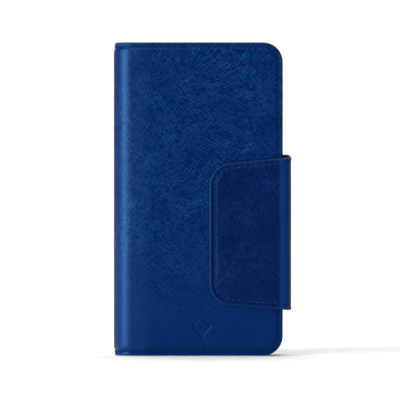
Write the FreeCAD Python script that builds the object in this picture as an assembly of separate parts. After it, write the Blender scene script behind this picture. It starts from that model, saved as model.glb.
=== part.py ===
import FreeCAD, Part
import math
import os

# Phone wallet case: a book-style cover in leathercloth with a soft round spine,
# a moulded tray for the phone, card pockets in the front cover, and a wide
# magnetic closing flap that comes from the back cover round the free side.
#
# Frame: +Z up along the case's height, front cover facing -Y, spine on the -X
# side, closing flap on the +X side. The origin is the bottom centre of the
# case's bounding box. Millimetres. The modelled state is closed.

V = FreeCAD.Vector

# ---------------------------------------------------------------- dimensions
H = 152.0            # height of both covers
W = 82.0             # spine's outermost line to the covers' free edge
T = 18.6             # closed thickness over the two covers
FLAP_OUT = 4.07      # how far the flap's side stands past the free edge
TONGUE_GAP = 0.3     # front cover to the flap's tongue
TONGUE_T = 2.0       # tongue thickness
CORNER_R = 9.7       # corners on the free side of both covers

SKIN = 1.0           # leathercloth on the covers
FOAM = 0.7           # padding under the front skin
F_BOARD = 1.0        # front stiffener
B_BOARD = 1.2        # back stiffener
LINING = 0.5         # microfibre lining on the flat panels
SP_LINING = 0.7      # doubled lining in the spine
EDGE_BAND = 2.6      # turned-in edge of the skins

PHONE_W, PHONE_H, PHONE_D = 70.6, 145.4, 8.0   # the phone space in the tray
TRAY_WALL = 1.3
TRAY_FLOOR = 1.2
TRAY_LIP_IN = 0.8    # the lip's reach over the phone's front
TRAY_LIP_T = 0.6
PAD = 0.2            # adhesive sheet under the tray
COVER_GAP = 0.3      # pockets to the tray's lip

POCKET_SHEET = 0.5
POCKET_SLIT = 0.1

FLAP_SKIN = 0.7
FLAP_LINING = 0.5
FLAP_CORE = TONGUE_T - FLAP_SKIN - FLAP_LINING
FLAP_ZLO, FLAP_ZHI = 22.1, 96.3                # at the flap's front bend
FLAP_TIP_X = 3.38                              # the tongue's free end
FLAP_TAPER_TOP, FLAP_TAPER_BOT = 0.0966, 0.0855
FLAP_TIP_R = 9.8
BACK_BEND_R, FRONT_BEND_R = 3.9, 4.5           # outer radii of the flap's bends

STITCH_PITCH = 2.88
STITCH_LEN = 2.15
STITCH_W = 0.55
STITCH_H = 0.3
STITCH_IN = 2.0      # seam to edge on the covers
GROOVE_W = 0.9
GROOVE_D = 0.35
FLAP_SEAM = 2.6      # seam to edge on the flap

# ---------------------------------------------------------------- positions
XL = -(W + FLAP_OUT) / 2          # spine's outermost line
XR = XL + W                       # covers' free edge
XF = XL + W + FLAP_OUT            # flap's outer face
DEPTH = T + TONGUE_GAP + TONGUE_T
YB = DEPTH / 2                    # back cover's outer face
YF = YB - T                       # front cover's outer face
YT = -DEPTH / 2                   # tongue's outer face
R = T / 2                         # spine's outer radius
CX, CY = XL + R, YF + R           # spine's centre
R_SKIN = R - SKIN                 # inside of the spine's skin
R_IN = R_SKIN - SP_LINING         # inside of the spine's lining
R_HINGE = (R + R_IN) / 2          # the folds run in the middle of the thickness
FOLDS = (30.0, 90.0, 150.0)      # fold lines round the spine, from the back
GAP = 1.25                        # half the clearance at a fold
DG = math.degrees(GAP / R_HINGE)

print("frame: XL %.3f XR %.3f XF %.3f YB %.3f YF %.3f YT %.3f C %.3f %.3f" % (XL, XR, XF, YB, YF, YT, CX, CY))
for f in FOLDS:
    a = math.radians(f)
    print("fold %.1f at x %.4f y %.4f" % (f, CX - R_HINGE * math.sin(a), CY + R_HINGE * math.cos(a)))


# ---------------------------------------------------------------- helpers
def sp(r, deg):
    """A point on the spine's circle: 0 at the back cover, 180 at the front."""
    a = math.radians(deg)
    return V(CX - r * math.sin(a), CY + r * math.cos(a), 0)


def seg(a, b):
    return Part.LineSegment(a, b).toShape()


def arc(a, m, b):
    return Part.Arc(a, m, b).toShape()


def prism(edges, z0, z1):
    """Extrudes a closed outline in the XY plane from z0 to z1."""
    face = Part.Face(Part.Wire(Part.__sortEdges__(edges)))
    s = face.extrude(V(0, 0, z1 - z0))
    s.translate(V(0, 0, z0))
    return s


def poly_xy(pts, z0, z1):
    pts = [V(x, y, 0) for x, y in pts]
    return prism([seg(a, b) for a, b in zip(pts, pts[1:] + pts[:1])], z0, z1)


def ring_sector(r0, r1, d0, d1, z0, z1):
    """A curved strip of the spine between two radii and two angles."""
    m = (d0 + d1) / 2
    return prism([arc(sp(r1, d0), sp(r1, m), sp(r1, d1)), seg(sp(r1, d1), sp(r0, d1)),
                  arc(sp(r0, d1), sp(r0, m), sp(r0, d0)), seg(sp(r0, d0), sp(r1, d0))], z0, z1)


def rounded_xz(x0, x1, z0, z1, radii, y0, y1):
    """A plate in the XZ plane with corner radii (left bottom, right bottom, right top, left top)."""
    lb, rb, rt, lt = radii
    k = math.sqrt(0.5)
    edges = []

    def P(x, z):
        return V(x, y0, z)

    def side(a, b):
        if a.distanceToPoint(b) > 1e-6:
            edges.append(seg(a, b))

    side(P(x0 + lb, z0), P(x1 - rb, z0))
    if rb:
        edges.append(arc(P(x1 - rb, z0), P(x1 - rb + rb * k, z0 + rb - rb * k), P(x1, z0 + rb)))
    side(P(x1, z0 + rb), P(x1, z1 - rt))
    if rt:
        edges.append(arc(P(x1, z1 - rt), P(x1 - rt + rt * k, z1 - rt + rt * k), P(x1 - rt, z1)))
    side(P(x1 - rt, z1), P(x0 + lt, z1))
    if lt:
        edges.append(arc(P(x0 + lt, z1), P(x0 + lt - lt * k, z1 - lt + lt * k), P(x0, z1 - lt)))
    side(P(x0, z1 - lt), P(x0, z0 + lb))
    if lb:
        edges.append(arc(P(x0, z0 + lb), P(x0 + lb - lb * k, z0 + lb - lb * k), P(x0 + lb, z0)))
    face = Part.Face(Part.Wire(Part.__sortEdges__(edges)))
    return face.extrude(V(0, y1 - y0, 0))


def cover_plate(inset, y0, y1, x0=None):
    """A layer of a cover: the cover's outline, inset all round."""
    r = max(CORNER_R - inset, 0.5)
    return rounded_xz(XL - 5 if x0 is None else x0, XR - inset, inset, H - inset, (0, r, r, 0), y0, y1)


def disc(x, z, r, y0, y1):
    return Part.makeCylinder(r, y1 - y0, V(x, y0, z), V(0, 1, 0))


def clean(shape):
    s = shape.removeSplitter()
    return s


# ---------------------------------------------------------------- camera window
# A lying rounded slot near the top, behind the usual place of a rear camera.
WIN_X0, WIN_X1 = 2.0, 27.0
WIN_Z0, WIN_Z1 = 127.5, 139.5
WIN_R = 5.9


def window(y0, y1, grow=0.0):
    r = WIN_R + grow
    return rounded_xz(WIN_X0 - grow, WIN_X1 + grow, WIN_Z0 - grow, WIN_Z1 + grow, (r, r, r, r), y0, y1)


parts = {}

# ---------------------------------------------------------------- seams
# Each seam is a row of separate stitches lying in a shallow groove.


def path_points(pieces, pitch):
    """Walks lines and arcs in a plane and returns (u, v, angle) at each pitch."""
    total = sum(p["len"] for p in pieces)
    n = int(round(total / pitch))
    step = total / n
    out = []
    for i in range(n):
        s = (i + 0.5) * step
        for p in pieces:
            if s <= p["len"] + 1e-9:
                out.append(p["at"](s))
                break
            s -= p["len"]
    return out


def line_piece(u0, v0, u1, v1):
    L = math.hypot(u1 - u0, v1 - v0)
    a = math.atan2(v1 - v0, u1 - u0)
    return {"len": L, "at": lambda s: (u0 + (u1 - u0) * s / L, v0 + (v1 - v0) * s / L, a)}


def arc_piece(cu, cv, r, a0, a1):
    L = abs(a1 - a0) * r
    turn = 1 if a1 > a0 else -1

    def at(s):
        a = a0 + turn * s / r
        return (cu + r * math.cos(a), cv + r * math.sin(a), a + turn * math.pi / 2)
    return {"len": L, "at": at}


def stitches(pieces, y0, y1, pitch=STITCH_PITCH, length=STITCH_LEN, width=STITCH_W):
    """Flat thread runs in the XZ plane between y0 and y1, as separate solids."""
    solids = []
    for u, v, a in path_points(pieces, pitch):
        b = Part.makeBox(length, y1 - y0, width, V(-length / 2, y0, -width / 2))
        b.rotate(V(0, 0, 0), V(0, 1, 0), -math.degrees(a))
        b.translate(V(u, 0, v))
        solids.append(b)
    return Part.makeCompound(solids)


def cover_seam(inset, x_from):
    r = CORNER_R - inset
    return [line_piece(x_from, H - inset, XR - inset - r, H - inset),
            arc_piece(XR - inset - r, H - inset - r, r, math.pi / 2, 0.0),
            line_piece(XR - inset, H - inset - r, XR - inset, inset + r),
            arc_piece(XR - inset - r, inset + r, r, 0.0, -math.pi / 2),
            line_piece(XR - inset - r, inset, x_from, inset)]


def seam_groove(inset, x_from, y0, y1):
    """The groove under a cover's seam: open at the spine's end."""
    h = GROOVE_W / 2
    return cover_plate(inset - h, y0, y1, x_from).cut(cover_plate(inset + h, y0 - 1, y1 + 1, x_from - 20))


# ---------------------------------------------------------------- back cover
ARC_B = FOLDS[0] - DG
ARC_F = FOLDS[2] + DG


def panel_layer(y0, y1, r0, r1, deg0, deg1, inset):
    """A layer that runs over the flat of a cover and on round the start of the spine."""
    flat = cover_plate(inset, min(y0, y1), max(y0, y1), CX)
    return flat.fuse(ring_sector(r0, r1, deg0, deg1, inset, H - inset))


back_skin = panel_layer(YB - SKIN, YB, R_SKIN, R, 0.0, ARC_B, 0.0)
lip = cover_plate(0.0, YB - SKIN - B_BOARD, YB - SKIN, CX + 2.0).cut(
    cover_plate(EDGE_BAND, YB - SKIN - B_BOARD - 1, YB - SKIN + 1, CX - 5))
# the turned edge stops where the flap's root comes out
root_z0, root_z1 = FLAP_ZLO - 1.75, FLAP_ZHI + 1.65
lip = lip.cut(Part.makeBox(12, 5, root_z1 - root_z0 + 0.4, V(XR - 8.0, YB - SKIN - B_BOARD - 1, root_z0 - 0.2)))
back_skin = back_skin.fuse(lip).cut(window(YB - 6, YB + 1, 0.8))
back_skin = back_skin.cut(seam_groove(STITCH_IN, CX, YB - GROOVE_D, YB + 1))
parts["back_skin"] = clean(back_skin)

back_board = cover_plate(EDGE_BAND + 0.2, YB - SKIN - B_BOARD, YB - SKIN, CX + 1.6)
back_board = back_board.cut(Part.makeBox(12, 5, root_z1 - root_z0 + 0.8, V(XR - 8.2, YB - SKIN - B_BOARD - 1, root_z0 - 0.4)))
back_board = back_board.cut(window(YB - 6, YB + 1, 1.6))
parts["back_board"] = clean(back_board)


def lining_profile(front, board_d, flat_t, inset):
    """Lining: flat over the board, a step down beside the board's edge, then round the spine."""
    d0, d1 = SKIN + board_d, SKIN + board_d + flat_t
    s = 1 if front else -1
    y_out = YF if front else YB

    def P(x, d):
        return V(x, y_out + s * d, 0)
    end = ARC_F if front else ARC_B
    start = 180.0 if front else 0.0
    m = (start + end) / 2
    x1 = XR - inset
    edges = [seg(P(x1, d0), P(CX + 1.4, d0)), seg(P(CX + 1.4, d0), P(CX + 0.4, SKIN)), seg(P(CX + 0.4, SKIN), P(CX, SKIN)),
             arc(P(CX, SKIN), sp(R_SKIN, m), sp(R_SKIN, end)), seg(sp(R_SKIN, end), sp(R_IN, end)),
             arc(sp(R_IN, end), sp(R_IN, m), P(CX, SKIN + SP_LINING)),
             seg(P(CX, SKIN + SP_LINING), P(CX + 0.1, SKIN + SP_LINING)),
             seg(P(CX + 0.1, SKIN + SP_LINING), P(CX + 1.0, d1)), seg(P(CX + 1.0, d1), P(x1, d1)), seg(P(x1, d1), P(x1, d0))]
    body = prism(edges, inset, H - inset)
    mask = cover_plate(inset, min(YF, YT) - 1, YB + 1, XL - 5)
    return body.common(mask)


back_lining = lining_profile(False, B_BOARD, LINING, 0.5).cut(window(YB - 8, YB + 1, 1.2))
parts["back_lining"] = clean(back_lining)

parts["back_seam_thread"] = stitches(cover_seam(STITCH_IN, CX + 1.0), YB - GROOVE_D, YB - GROOVE_D + STITCH_H)

# ---------------------------------------------------------------- phone tray
TX1 = XL + 79.4
TX0 = TX1 - PHONE_W - 2 * TRAY_WALL
TZ0 = (H - PHONE_H) / 2 - TRAY_WALL
TZ1 = H - TZ0
Y_LIN = YB - SKIN - B_BOARD - LINING      # face of the back lining
Y_PAD = Y_LIN - PAD
Y_FLOOR = Y_PAD - TRAY_FLOOR
Y_MOUTH = Y_FLOOR - PHONE_D
Y_LIP = Y_MOUTH - TRAY_LIP_T
TRAY_R = 10.0

tray = rounded_xz(TX0, TX1, TZ0, TZ1, (TRAY_R,) * 4, Y_LIP, Y_PAD)
back_edges = [e for e in tray.Edges if all(abs(v.Y - Y_PAD) < 1e-6 for v in e.Vertexes)]
tray = tray.makeFillet(1.6, back_edges)
ri = TRAY_R - TRAY_WALL
tray = tray.cut(rounded_xz(TX0 + TRAY_WALL, TX1 - TRAY_WALL, TZ0 + TRAY_WALL, TZ1 - TRAY_WALL, (ri,) * 4, Y_MOUTH, Y_FLOOR))
li = TRAY_WALL + TRAY_LIP_IN
rl = TRAY_R - li
tray = tray.cut(rounded_xz(TX0 + li, TX1 - li, TZ0 + li, TZ1 - li, (rl,) * 4, Y_LIP - 1, Y_MOUTH + 0.001))
tray = tray.cut(window(Y_FLOOR - 0.5, YB + 1, 0.0))
YM = (Y_MOUTH + Y_FLOOR) / 2
TXM = (TX0 + TX1) / 2


def slot_z(x0, x1, z0, z1, half):
    """An opening with rounded ends through a top or bottom wall."""
    b = Part.makeBox(x1 - x0, 2 * half, z1 - z0, V(x0, YM - half, z0))
    return b.fuse(Part.makeCylinder(half, z1 - z0, V(x0, YM, z0))).fuse(Part.makeCylinder(half, z1 - z0, V(x1, YM, z0)))


def slot_x(z0, z1, x0, x1, half):
    """An opening with rounded ends through a side wall."""
    b = Part.makeBox(x1 - x0, 2 * half, z1 - z0, V(x0, YM - half, z0))
    return b.fuse(Part.makeCylinder(half, x1 - x0, V(x0, YM, z0), V(1, 0, 0))).fuse(
        Part.makeCylinder(half, x1 - x0, V(x0, YM, z1), V(1, 0, 0)))


tray = tray.cut(slot_z(TXM - 4.4, TXM + 4.4, TZ0 - 1, TZ0 + TRAY_WALL + 0.2, 2.7))      # charging port
tray = tray.cut(slot_z(TXM + 14.0, TXM + 22.0, TZ0 - 1, TZ0 + TRAY_WALL + 0.2, 2.2))    # loudspeaker
tray = tray.cut(slot_z(TXM + 17.0, TXM + 19.0, TZ1 - TRAY_WALL - 0.2, TZ1 + 1, 2.7))    # headphone socket
tray = tray.cut(slot_x(103.0, 109.5, TX1 - TRAY_WALL - 0.2, TX1 + 1, 2.3))              # power key
tray = tray.cut(slot_x(117.0, 133.0, TX1 - TRAY_WALL - 0.2, TX1 + 1, 2.3))              # volume keys
parts["phone_tray"] = clean(tray)

pad = rounded_xz(TX0 + 4.5, TX1 - 4.5, TZ0 + 4.5, TZ1 - 4.5, (6.0,) * 4, Y_PAD, Y_LIN).cut(window(Y_PAD - 1, Y_LIN + 1, 1.5))
parts["tray_adhesive_sheet"] = clean(pad)

# ---------------------------------------------------------------- spine strips
names = ("back", "front")
for i, n in enumerate(names):
    d0, d1 = FOLDS[i] + DG, FOLDS[i + 1] - DG
    parts["spine_skin_" + n] = ring_sector(R_SKIN, R, d0, d1, 0.0, H)
    parts["spine_lining_" + n] = ring_sector(R_IN, R_SKIN, d0, d1, 0.5, H - 0.5)

# ---------------------------------------------------------------- front cover
front_skin = panel_layer(YF, YF + SKIN, R_SKIN, R, ARC_F, 180.0, 0.0)
lip = cover_plate(0.0, YF + SKIN, YF + SKIN + FOAM + F_BOARD, CX + 2.0).cut(
    cover_plate(EDGE_BAND, YF, YF + 10, CX - 5))
front_skin = front_skin.fuse(lip)
front_skin = front_skin.cut(seam_groove(STITCH_IN, CX, YF - 1, YF + GROOVE_D))
# small plain lozenge pressed into the lower middle of the cover
MARK_X, MARK_Z, MARK_A, MARK_B = -0.2, 14.3, 4.6, 5.6


def lozenge(a, b, y0, y1):
    pts = [V(MARK_X + a, y0, MARK_Z), V(MARK_X, y0, MARK_Z + b), V(MARK_X - a, y0, MARK_Z), V(MARK_X, y0, MARK_Z - b)]
    return Part.Face(Part.Wire([seg(p, q) for p, q in zip(pts, pts[1:] + pts[:1])])).extrude(V(0, y1 - y0, 0))


front_skin = front_skin.cut(lozenge(MARK_A, MARK_B, YF - 1, YF + 0.2).cut(lozenge(MARK_A - 0.8, MARK_B - 0.95, YF - 2, YF + 1)))
parts["front_skin"] = clean(front_skin)

# closing plates under the skin, opposite the flap's magnets
MAG_X = FLAP_TIP_X + 12.0
MAG_Z = ((FLAP_ZLO + FLAP_ZHI) / 2 - 15.0, (FLAP_ZLO + FLAP_ZHI) / 2 + 15.0)
MAG_R = 5.0
PLATE_R = 6.0

foam = cover_plate(EDGE_BAND + 0.2, YF + SKIN, YF + SKIN + FOAM, CX + 1.6)
for z in MAG_Z:
    foam = foam.cut(disc(MAG_X, z, PLATE_R + 0.2, YF, YF + 5))
parts["front_foam"] = clean(foam)
parts["front_board"] = cover_plate(EDGE_BAND + 0.2, YF + SKIN + FOAM, YF + SKIN + FOAM + F_BOARD, CX + 1.6)
parts["front_lining"] = clean(lining_profile(True, FOAM + F_BOARD, LINING, 0.5))
parts["closing_plates"] = Part.makeCompound([disc(MAG_X, z, PLATE_R, YF + SKIN + 0.05, YF + SKIN + FOAM) for z in MAG_Z])
parts["front_seam_thread"] = stitches(cover_seam(STITCH_IN, CX + 1.0), YF + GROOVE_D - STITCH_H, YF + GROOVE_D)

# ---------------------------------------------------------------- pockets
Y_FLIN = YF + SKIN + FOAM + F_BOARD + LINING     # face of the front lining
LAYER = POCKET_SHEET + POCKET_SLIT
PR = XR - 1.6                                    # pockets end here at the free side
CASH_X0, CASH_Z0, CASH_Z1 = XL + 15.0, 1.6, H - 1.6
CARD_Z0, CARD_Z1 = 31.0, 121.0
CARD_X0 = (XL + 20.0, XL + 31.5, XL + 43.0)
SEW = 2.4                                        # sewn margin round a pocket
NOTCH_R, NOTCH_IN = 15.0, 5.0


def pocket(x0, x1, z0, z1, rc, layer, notch=True):
    """A sheet sewn on three sides, with a thin slot behind it that is open towards the spine."""
    y0 = Y_FLIN + layer * LAYER
    s = rounded_xz(x0, x1, z0, z1, (0, rc, rc, 0), y0, y0 + LAYER)
    s = s.cut(rounded_xz(x0 - 5, x1 - SEW, z0 + SEW, z1 - SEW, (0, max(rc - SEW, 0.4), max(rc - SEW, 0.4), 0), y0 - 1, y0 + POCKET_SLIT))
    if notch:
        zc = (z0 + z1) / 2
        s = s.cut(disc(x0 - NOTCH_R + NOTCH_IN, zc, NOTCH_R, y0 - 1, y0 + 2))
    return s


parts["cash_pocket"] = clean(pocket(CASH_X0, PR, CASH_Z0, CASH_Z1, CORNER_R - 1.6, 0, False))
for i, x0 in enumerate(CARD_X0):
    parts["card_pocket_%d" % (i + 1)] = clean(pocket(x0, PR - 1.0, CARD_Z0, CARD_Z1, 1.5, i + 1))

thread = []
y_of = [Y_FLIN + (i + 1) * LAYER for i in range(4)]

# ---------------------------------------------------------------- closing flap
# Root between the back cover's skin and lining, a bend, the side, a bend, the tongue.
FLAP_T = FLAP_SKIN + FLAP_LINING
CBX, CBY = XF - BACK_BEND_R, YB - SKIN - BACK_BEND_R
CFX, CFY = XF - FRONT_BEND_R, YT + FRONT_BEND_R
RBH = BACK_BEND_R - FLAP_T / 2
RFH = FRONT_BEND_R - FLAP_T / 2
FG = 0.8                                        # half the clearance at the flap's folds
DB = math.degrees(FG / RBH)
DF = math.degrees(FG / RFH)
k45 = math.sqrt(0.5)
print("flap back fold at x %.4f y %.4f, front fold at x %.4f y %.4f" % (
    CBX + RBH * k45, CBY + RBH * k45, CFX + RFH * k45, CFY - RFH * k45))


def fb(r, deg):
    """A point in the flap's back bend: 90 faces back, 0 faces the free side."""
    a = math.radians(deg)
    return V(CBX + r * math.cos(a), CBY + r * math.sin(a), 0)


def ff(r, deg):
    """A point in the flap's front bend: 0 faces the free side, -90 the front."""
    a = math.radians(deg)
    return V(CFX + r * math.cos(a), CFY + r * math.sin(a), 0)


def flap_root(r0, r1):
    """r measured from the back bend's centre."""
    y0, y1 = CBY + r0, CBY + r1
    x0 = XR - 7.0
    d = 45.0 + DB
    return [seg(V(x0, y0, 0), V(x0, y1, 0)), seg(V(x0, y1, 0), V(CBX, y1, 0)),
            arc(fb(r1, 90), fb(r1, (90 + d) / 2), fb(r1, d)), seg(fb(r1, d), fb(r0, d)),
            arc(fb(r0, d), fb(r0, (90 + d) / 2), fb(r0, 90)), seg(V(CBX, y0, 0), V(x0, y0, 0))]


def flap_side(b0, b1, f0, f1):
    d, e = 45.0 - DB, -45.0 + DF
    x1, x0 = CBX + b1, CBX + b0
    return [arc(fb(b1, d), fb(b1, d / 2), fb(b1, 0)), seg(V(x1, CBY, 0), V(x1, CFY, 0)),
            arc(ff(f1, 0), ff(f1, e / 2), ff(f1, e)), seg(ff(f1, e), ff(f0, e)),
            arc(ff(f0, e), ff(f0, e / 2), ff(f0, 0)), seg(V(x0, CFY, 0), V(x0, CBY, 0)),
            arc(fb(b0, 0), fb(b0, d / 2), fb(b0, d)), seg(fb(b0, d), fb(b1, d))]


z_side_lo, z_side_hi = FLAP_ZLO, FLAP_ZHI
# the flap is widest at its root and narrows towards the tongue's end
side_mask_pts = [(CFY - 3.0, FLAP_ZLO), (YB, FLAP_ZLO - 1.6), (YB, FLAP_ZHI + 1.5), (CFY - 3.0, FLAP_ZHI)]
sm = [V(XR - 20, y, z) for y, z in side_mask_pts]
side_mask = Part.Face(Part.Wire([seg(a, b) for a, b in zip(sm, sm[1:] + sm[:1])])).extrude(V(40, 0, 0))
root_mask = Part.makeBox(40, 20, root_z1 - root_z0, V(XR - 20, CBY - 5, root_z0))

OUT_B, MID_B, IN_B = BACK_BEND_R, BACK_BEND_R - FLAP_SKIN, BACK_BEND_R - FLAP_T
OUT_F, MID_F, IN_F = FRONT_BEND_R, FRONT_BEND_R - FLAP_SKIN, FRONT_BEND_R - FLAP_T

parts["flap_root_skin"] = clean(prism(flap_root(MID_B, OUT_B), 0, H).common(root_mask))
parts["flap_root_lining"] = clean(prism(flap_root(IN_B, MID_B), 0, H).common(root_mask))
parts["flap_side_skin"] = clean(prism(flap_side(MID_B, OUT_B, MID_F, OUT_F), 0, H).common(side_mask))
parts["flap_side_lining"] = clean(prism(flap_side(IN_B, MID_B, IN_F, MID_F), 0, H).common(side_mask))


def tongue_face(inset, y):
    """The tongue's outline in the XZ plane: narrowing to a rounded free end."""
    xa, xb = FLAP_TIP_X + inset, XF + 5
    zt = lambda x: FLAP_ZHI - inset - FLAP_TAPER_TOP * (XF - x)
    zb = lambda x: FLAP_ZLO + inset + FLAP_TAPER_BOT * (XF - x)
    pts = [V(xb, y, min(zt(xb), FLAP_ZHI - inset)), V(xa, y, zt(xa)), V(xa, y, zb(xa)), V(xb, y, max(zb(xb), FLAP_ZLO + inset))]
    xm = XF
    pts = [V(xb, y, FLAP_ZHI - inset), V(xm, y, FLAP_ZHI - inset), V(xa, y, zt(xa)), V(xa, y, zb(xa)), V(xm, y, FLAP_ZLO + inset), V(xb, y, FLAP_ZLO + inset)]
    return Part.Wire([seg(a, b) for a, b in zip(pts, pts[1:] + pts[:1])])


def tongue_mask(inset):
    body = Part.Face(tongue_face(inset, YT - 5)).extrude(V(0, 12, 0))
    x = FLAP_TIP_X + inset
    tip = [e for e in body.Edges if len(e.Vertexes) == 2 and all(abs(v.X - x) < 1e-6 for v in e.Vertexes)
           and abs(e.Vertexes[0].Y - e.Vertexes[1].Y) > 1]
    return body.makeFillet(max(FLAP_TIP_R - inset, 1.0), tip)


e = -45.0 - DF
CORE_X1 = CFX - 0.6
tongue_skin = prism([arc(ff(OUT_F, -90), ff(OUT_F, (e - 90) / 2), ff(OUT_F, e)), seg(ff(OUT_F, e), ff(MID_F, e)),
                     arc(ff(MID_F, e), ff(MID_F, (e - 90) / 2), ff(MID_F, -90)),
                     seg(V(CFX, YT + FLAP_SKIN, 0), V(FLAP_TIP_X - 5, YT + FLAP_SKIN, 0)),
                     seg(V(FLAP_TIP_X - 5, YT + FLAP_SKIN, 0), V(FLAP_TIP_X - 5, YT, 0)),
                     seg(V(FLAP_TIP_X - 5, YT, 0), V(CFX, YT, 0))], 0, H).common(tongue_mask(0.0))
# edge turned in over the stiffener on three sides
edge = tongue_mask(0.0).common(Part.makeBox(CORE_X1 - FLAP_TIP_X + 5, FLAP_CORE, H, V(FLAP_TIP_X - 5, YT + FLAP_SKIN, 0)))
edge = edge.cut(tongue_mask(2.0))
tongue_skin = tongue_skin.fuse(edge)


def tongue_seam():
    """The seam follows the tongue's edge at FLAP_SEAM inside it."""
    i = FLAP_SEAM
    r = FLAP_TIP_R - i
    xa = FLAP_TIP_X + i
    at, ab = math.atan(FLAP_TAPER_TOP), math.atan(FLAP_TAPER_BOT)
    zt = lambda x: FLAP_ZHI - i - FLAP_TAPER_TOP * (XF - x)
    zb = lambda x: FLAP_ZLO + i + FLAP_TAPER_BOT * (XF - x)
    cx = xa + r
    czt = zt(cx) - r / math.cos(at)
    czb = zb(cx) + r / math.cos(ab)
    a_top = math.pi / 2 + at
    a_bot = -math.pi / 2 - ab
    p_top = (cx + r * math.cos(a_top), czt + r * math.sin(a_top))
    p_bot = (cx + r * math.cos(a_bot), czb + r * math.sin(a_bot))
    xe = CFX - 1.0
    return [line_piece(xe, zt(xe), p_top[0], p_top[1]), arc_piece(cx, czt, r, a_top, math.pi),
            line_piece(xa, czt, xa, czb), arc_piece(cx, czb, r, math.pi, 2 * math.pi + a_bot),
            line_piece(p_bot[0], p_bot[1], xe, zb(xe))]


h = GROOVE_W / 2
groove = tongue_mask(FLAP_SEAM - h).cut(tongue_mask(FLAP_SEAM + h)).common(
    Part.makeBox(CFX - FLAP_TIP_X + 4, 5 + GROOVE_D, H, V(FLAP_TIP_X - 4, YT - 5, 0)))
tongue_skin = tongue_skin.cut(groove)
parts["flap_tongue_skin"] = clean(tongue_skin)
parts["flap_seam_thread"] = stitches(tongue_seam(), YT + GROOVE_D - STITCH_H, YT + GROOVE_D)

core = tongue_mask(2.2).common(Part.makeBox(CORE_X1 - FLAP_TIP_X, FLAP_CORE, H, V(FLAP_TIP_X, YT + FLAP_SKIN, 0)))
for z in MAG_Z:
    core = core.cut(disc(MAG_X, z, MAG_R + 0.15, YT, YT + 5))
parts["flap_board"] = clean(core)
parts["flap_magnets"] = Part.makeCompound([disc(MAG_X, z, MAG_R, YT + FLAP_SKIN, YT + FLAP_SKIN + FLAP_CORE) for z in MAG_Z])

Y_CORE = YT + FLAP_SKIN + FLAP_CORE
lin = prism([arc(ff(MID_F, -90), ff(MID_F, (e - 90) / 2), ff(MID_F, e)), seg(ff(MID_F, e), ff(IN_F, e)),
             arc(ff(IN_F, e), ff(IN_F, (e - 90) / 2), ff(IN_F, -90)),
             seg(V(CFX, YT + FLAP_T, 0), V(CFX - 0.3, YT + FLAP_T, 0)),
             seg(V(CFX - 0.3, YT + FLAP_T, 0), V(CFX - 0.9, Y_CORE + FLAP_LINING, 0)),
             seg(V(CFX - 0.9, Y_CORE + FLAP_LINING, 0), V(FLAP_TIP_X - 5, Y_CORE + FLAP_LINING, 0)),
             seg(V(FLAP_TIP_X - 5, Y_CORE + FLAP_LINING, 0), V(FLAP_TIP_X - 5, Y_CORE, 0)),
             seg(V(FLAP_TIP_X - 5, Y_CORE, 0), V(CORE_X1, Y_CORE, 0)),
             seg(V(CORE_X1, Y_CORE, 0), V(CORE_X1 + 0.3, YT + FLAP_SKIN, 0)),
             seg(V(CORE_X1 + 0.3, YT + FLAP_SKIN, 0), V(CFX, YT + FLAP_SKIN, 0))], 0, H).common(tongue_mask(0.3))
parts["flap_tongue_lining"] = clean(lin)

# ---------------------------------------------------------------- pocket seams
# Stitches that close the card pockets, in a shallow groove of the outer sheet of each.
ps = []
w = SEW / 2
top_sheet = parts["card_pocket_3"]
yy = Y_FLIN + 4 * LAYER
grooves = []


def pocket_rows(x0, x1, z0, z1):
    return [line_piece(x0, z1, x1, z1), line_piece(x1, z1, x1, z0), line_piece(x1, z0, x0, z0)]


x1 = PR - 1.0 - w
rows = [(CARD_X0[2] + 1.0, x1, CARD_Z0 + w, CARD_Z1 - w, 3)]
threads = []
g = GROOVE_W / 2
for xa, xb, za, zb, layer in rows:
    y1 = Y_FLIN + (layer + 1) * LAYER
    outer = Part.makeBox(xb + g - xa + 20, 0.26, zb - za + 2 * g, V(xa - 20, y1 - 0.25, za - g))
    inner = Part.makeBox(xb - g - xa + 30, 1.0, zb - za - 2 * g, V(xa - 30, y1 - 0.6, za + g))
    parts["card_pocket_3"] = clean(parts["card_pocket_3"].cut(outer.cut(inner)))
    threads.append(stitches(pocket_rows(xa, xb, za, zb), y1 - 0.25, y1 - 0.03))
# the steps of the two deeper card pockets carry their own short rows at top and bottom
for i in (0, 1):
    y1 = Y_FLIN + (i + 2) * LAYER
    xa, xb = CARD_X0[i] + 1.0, CARD_X0[i + 1] - 0.6
    for z in (CARD_Z0 + w, CARD_Z1 - w):
        cutter = Part.makeBox(xb - xa + 4.0, 0.26, 2 * g, V(xa - 3.4, y1 - 0.25, z - g))
        parts["card_pocket_%d" % (i + 1)] = clean(parts["card_pocket_%d" % (i + 1)].cut(cutter))
        threads.append(stitches([line_piece(xa, z, xb, z)], y1 - 0.25, y1 - 0.03))
parts["pocket_seam_thread"] = Part.makeCompound([s for t in threads for s in t.Solids])

# ---------------------------------------------------------------- export
os.makedirs("parts", exist_ok=True)
total = FreeCAD.BoundBox()
for name, shape in parts.items():
    solids = shape.Solids
    ok = all(s.isValid() and s.isClosed() and s.Volume > 0 for s in solids)
    if len(solids) == 1:
        shape = solids[0]
    else:
        shape = Part.makeCompound(solids)
    total.add(shape.BoundBox)
    shape.exportStep("parts/%s.step" % name)
    print("%-22s solids %3d valid %s volume %9.2f" % (name, len(solids), ok, sum(s.Volume for s in solids)))
print("nodes", len(parts), "box", [round(v, 3) for v in (total.XMin, total.XMax, total.YMin, total.YMax, total.ZMin, total.ZMax)])
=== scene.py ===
import math

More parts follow.
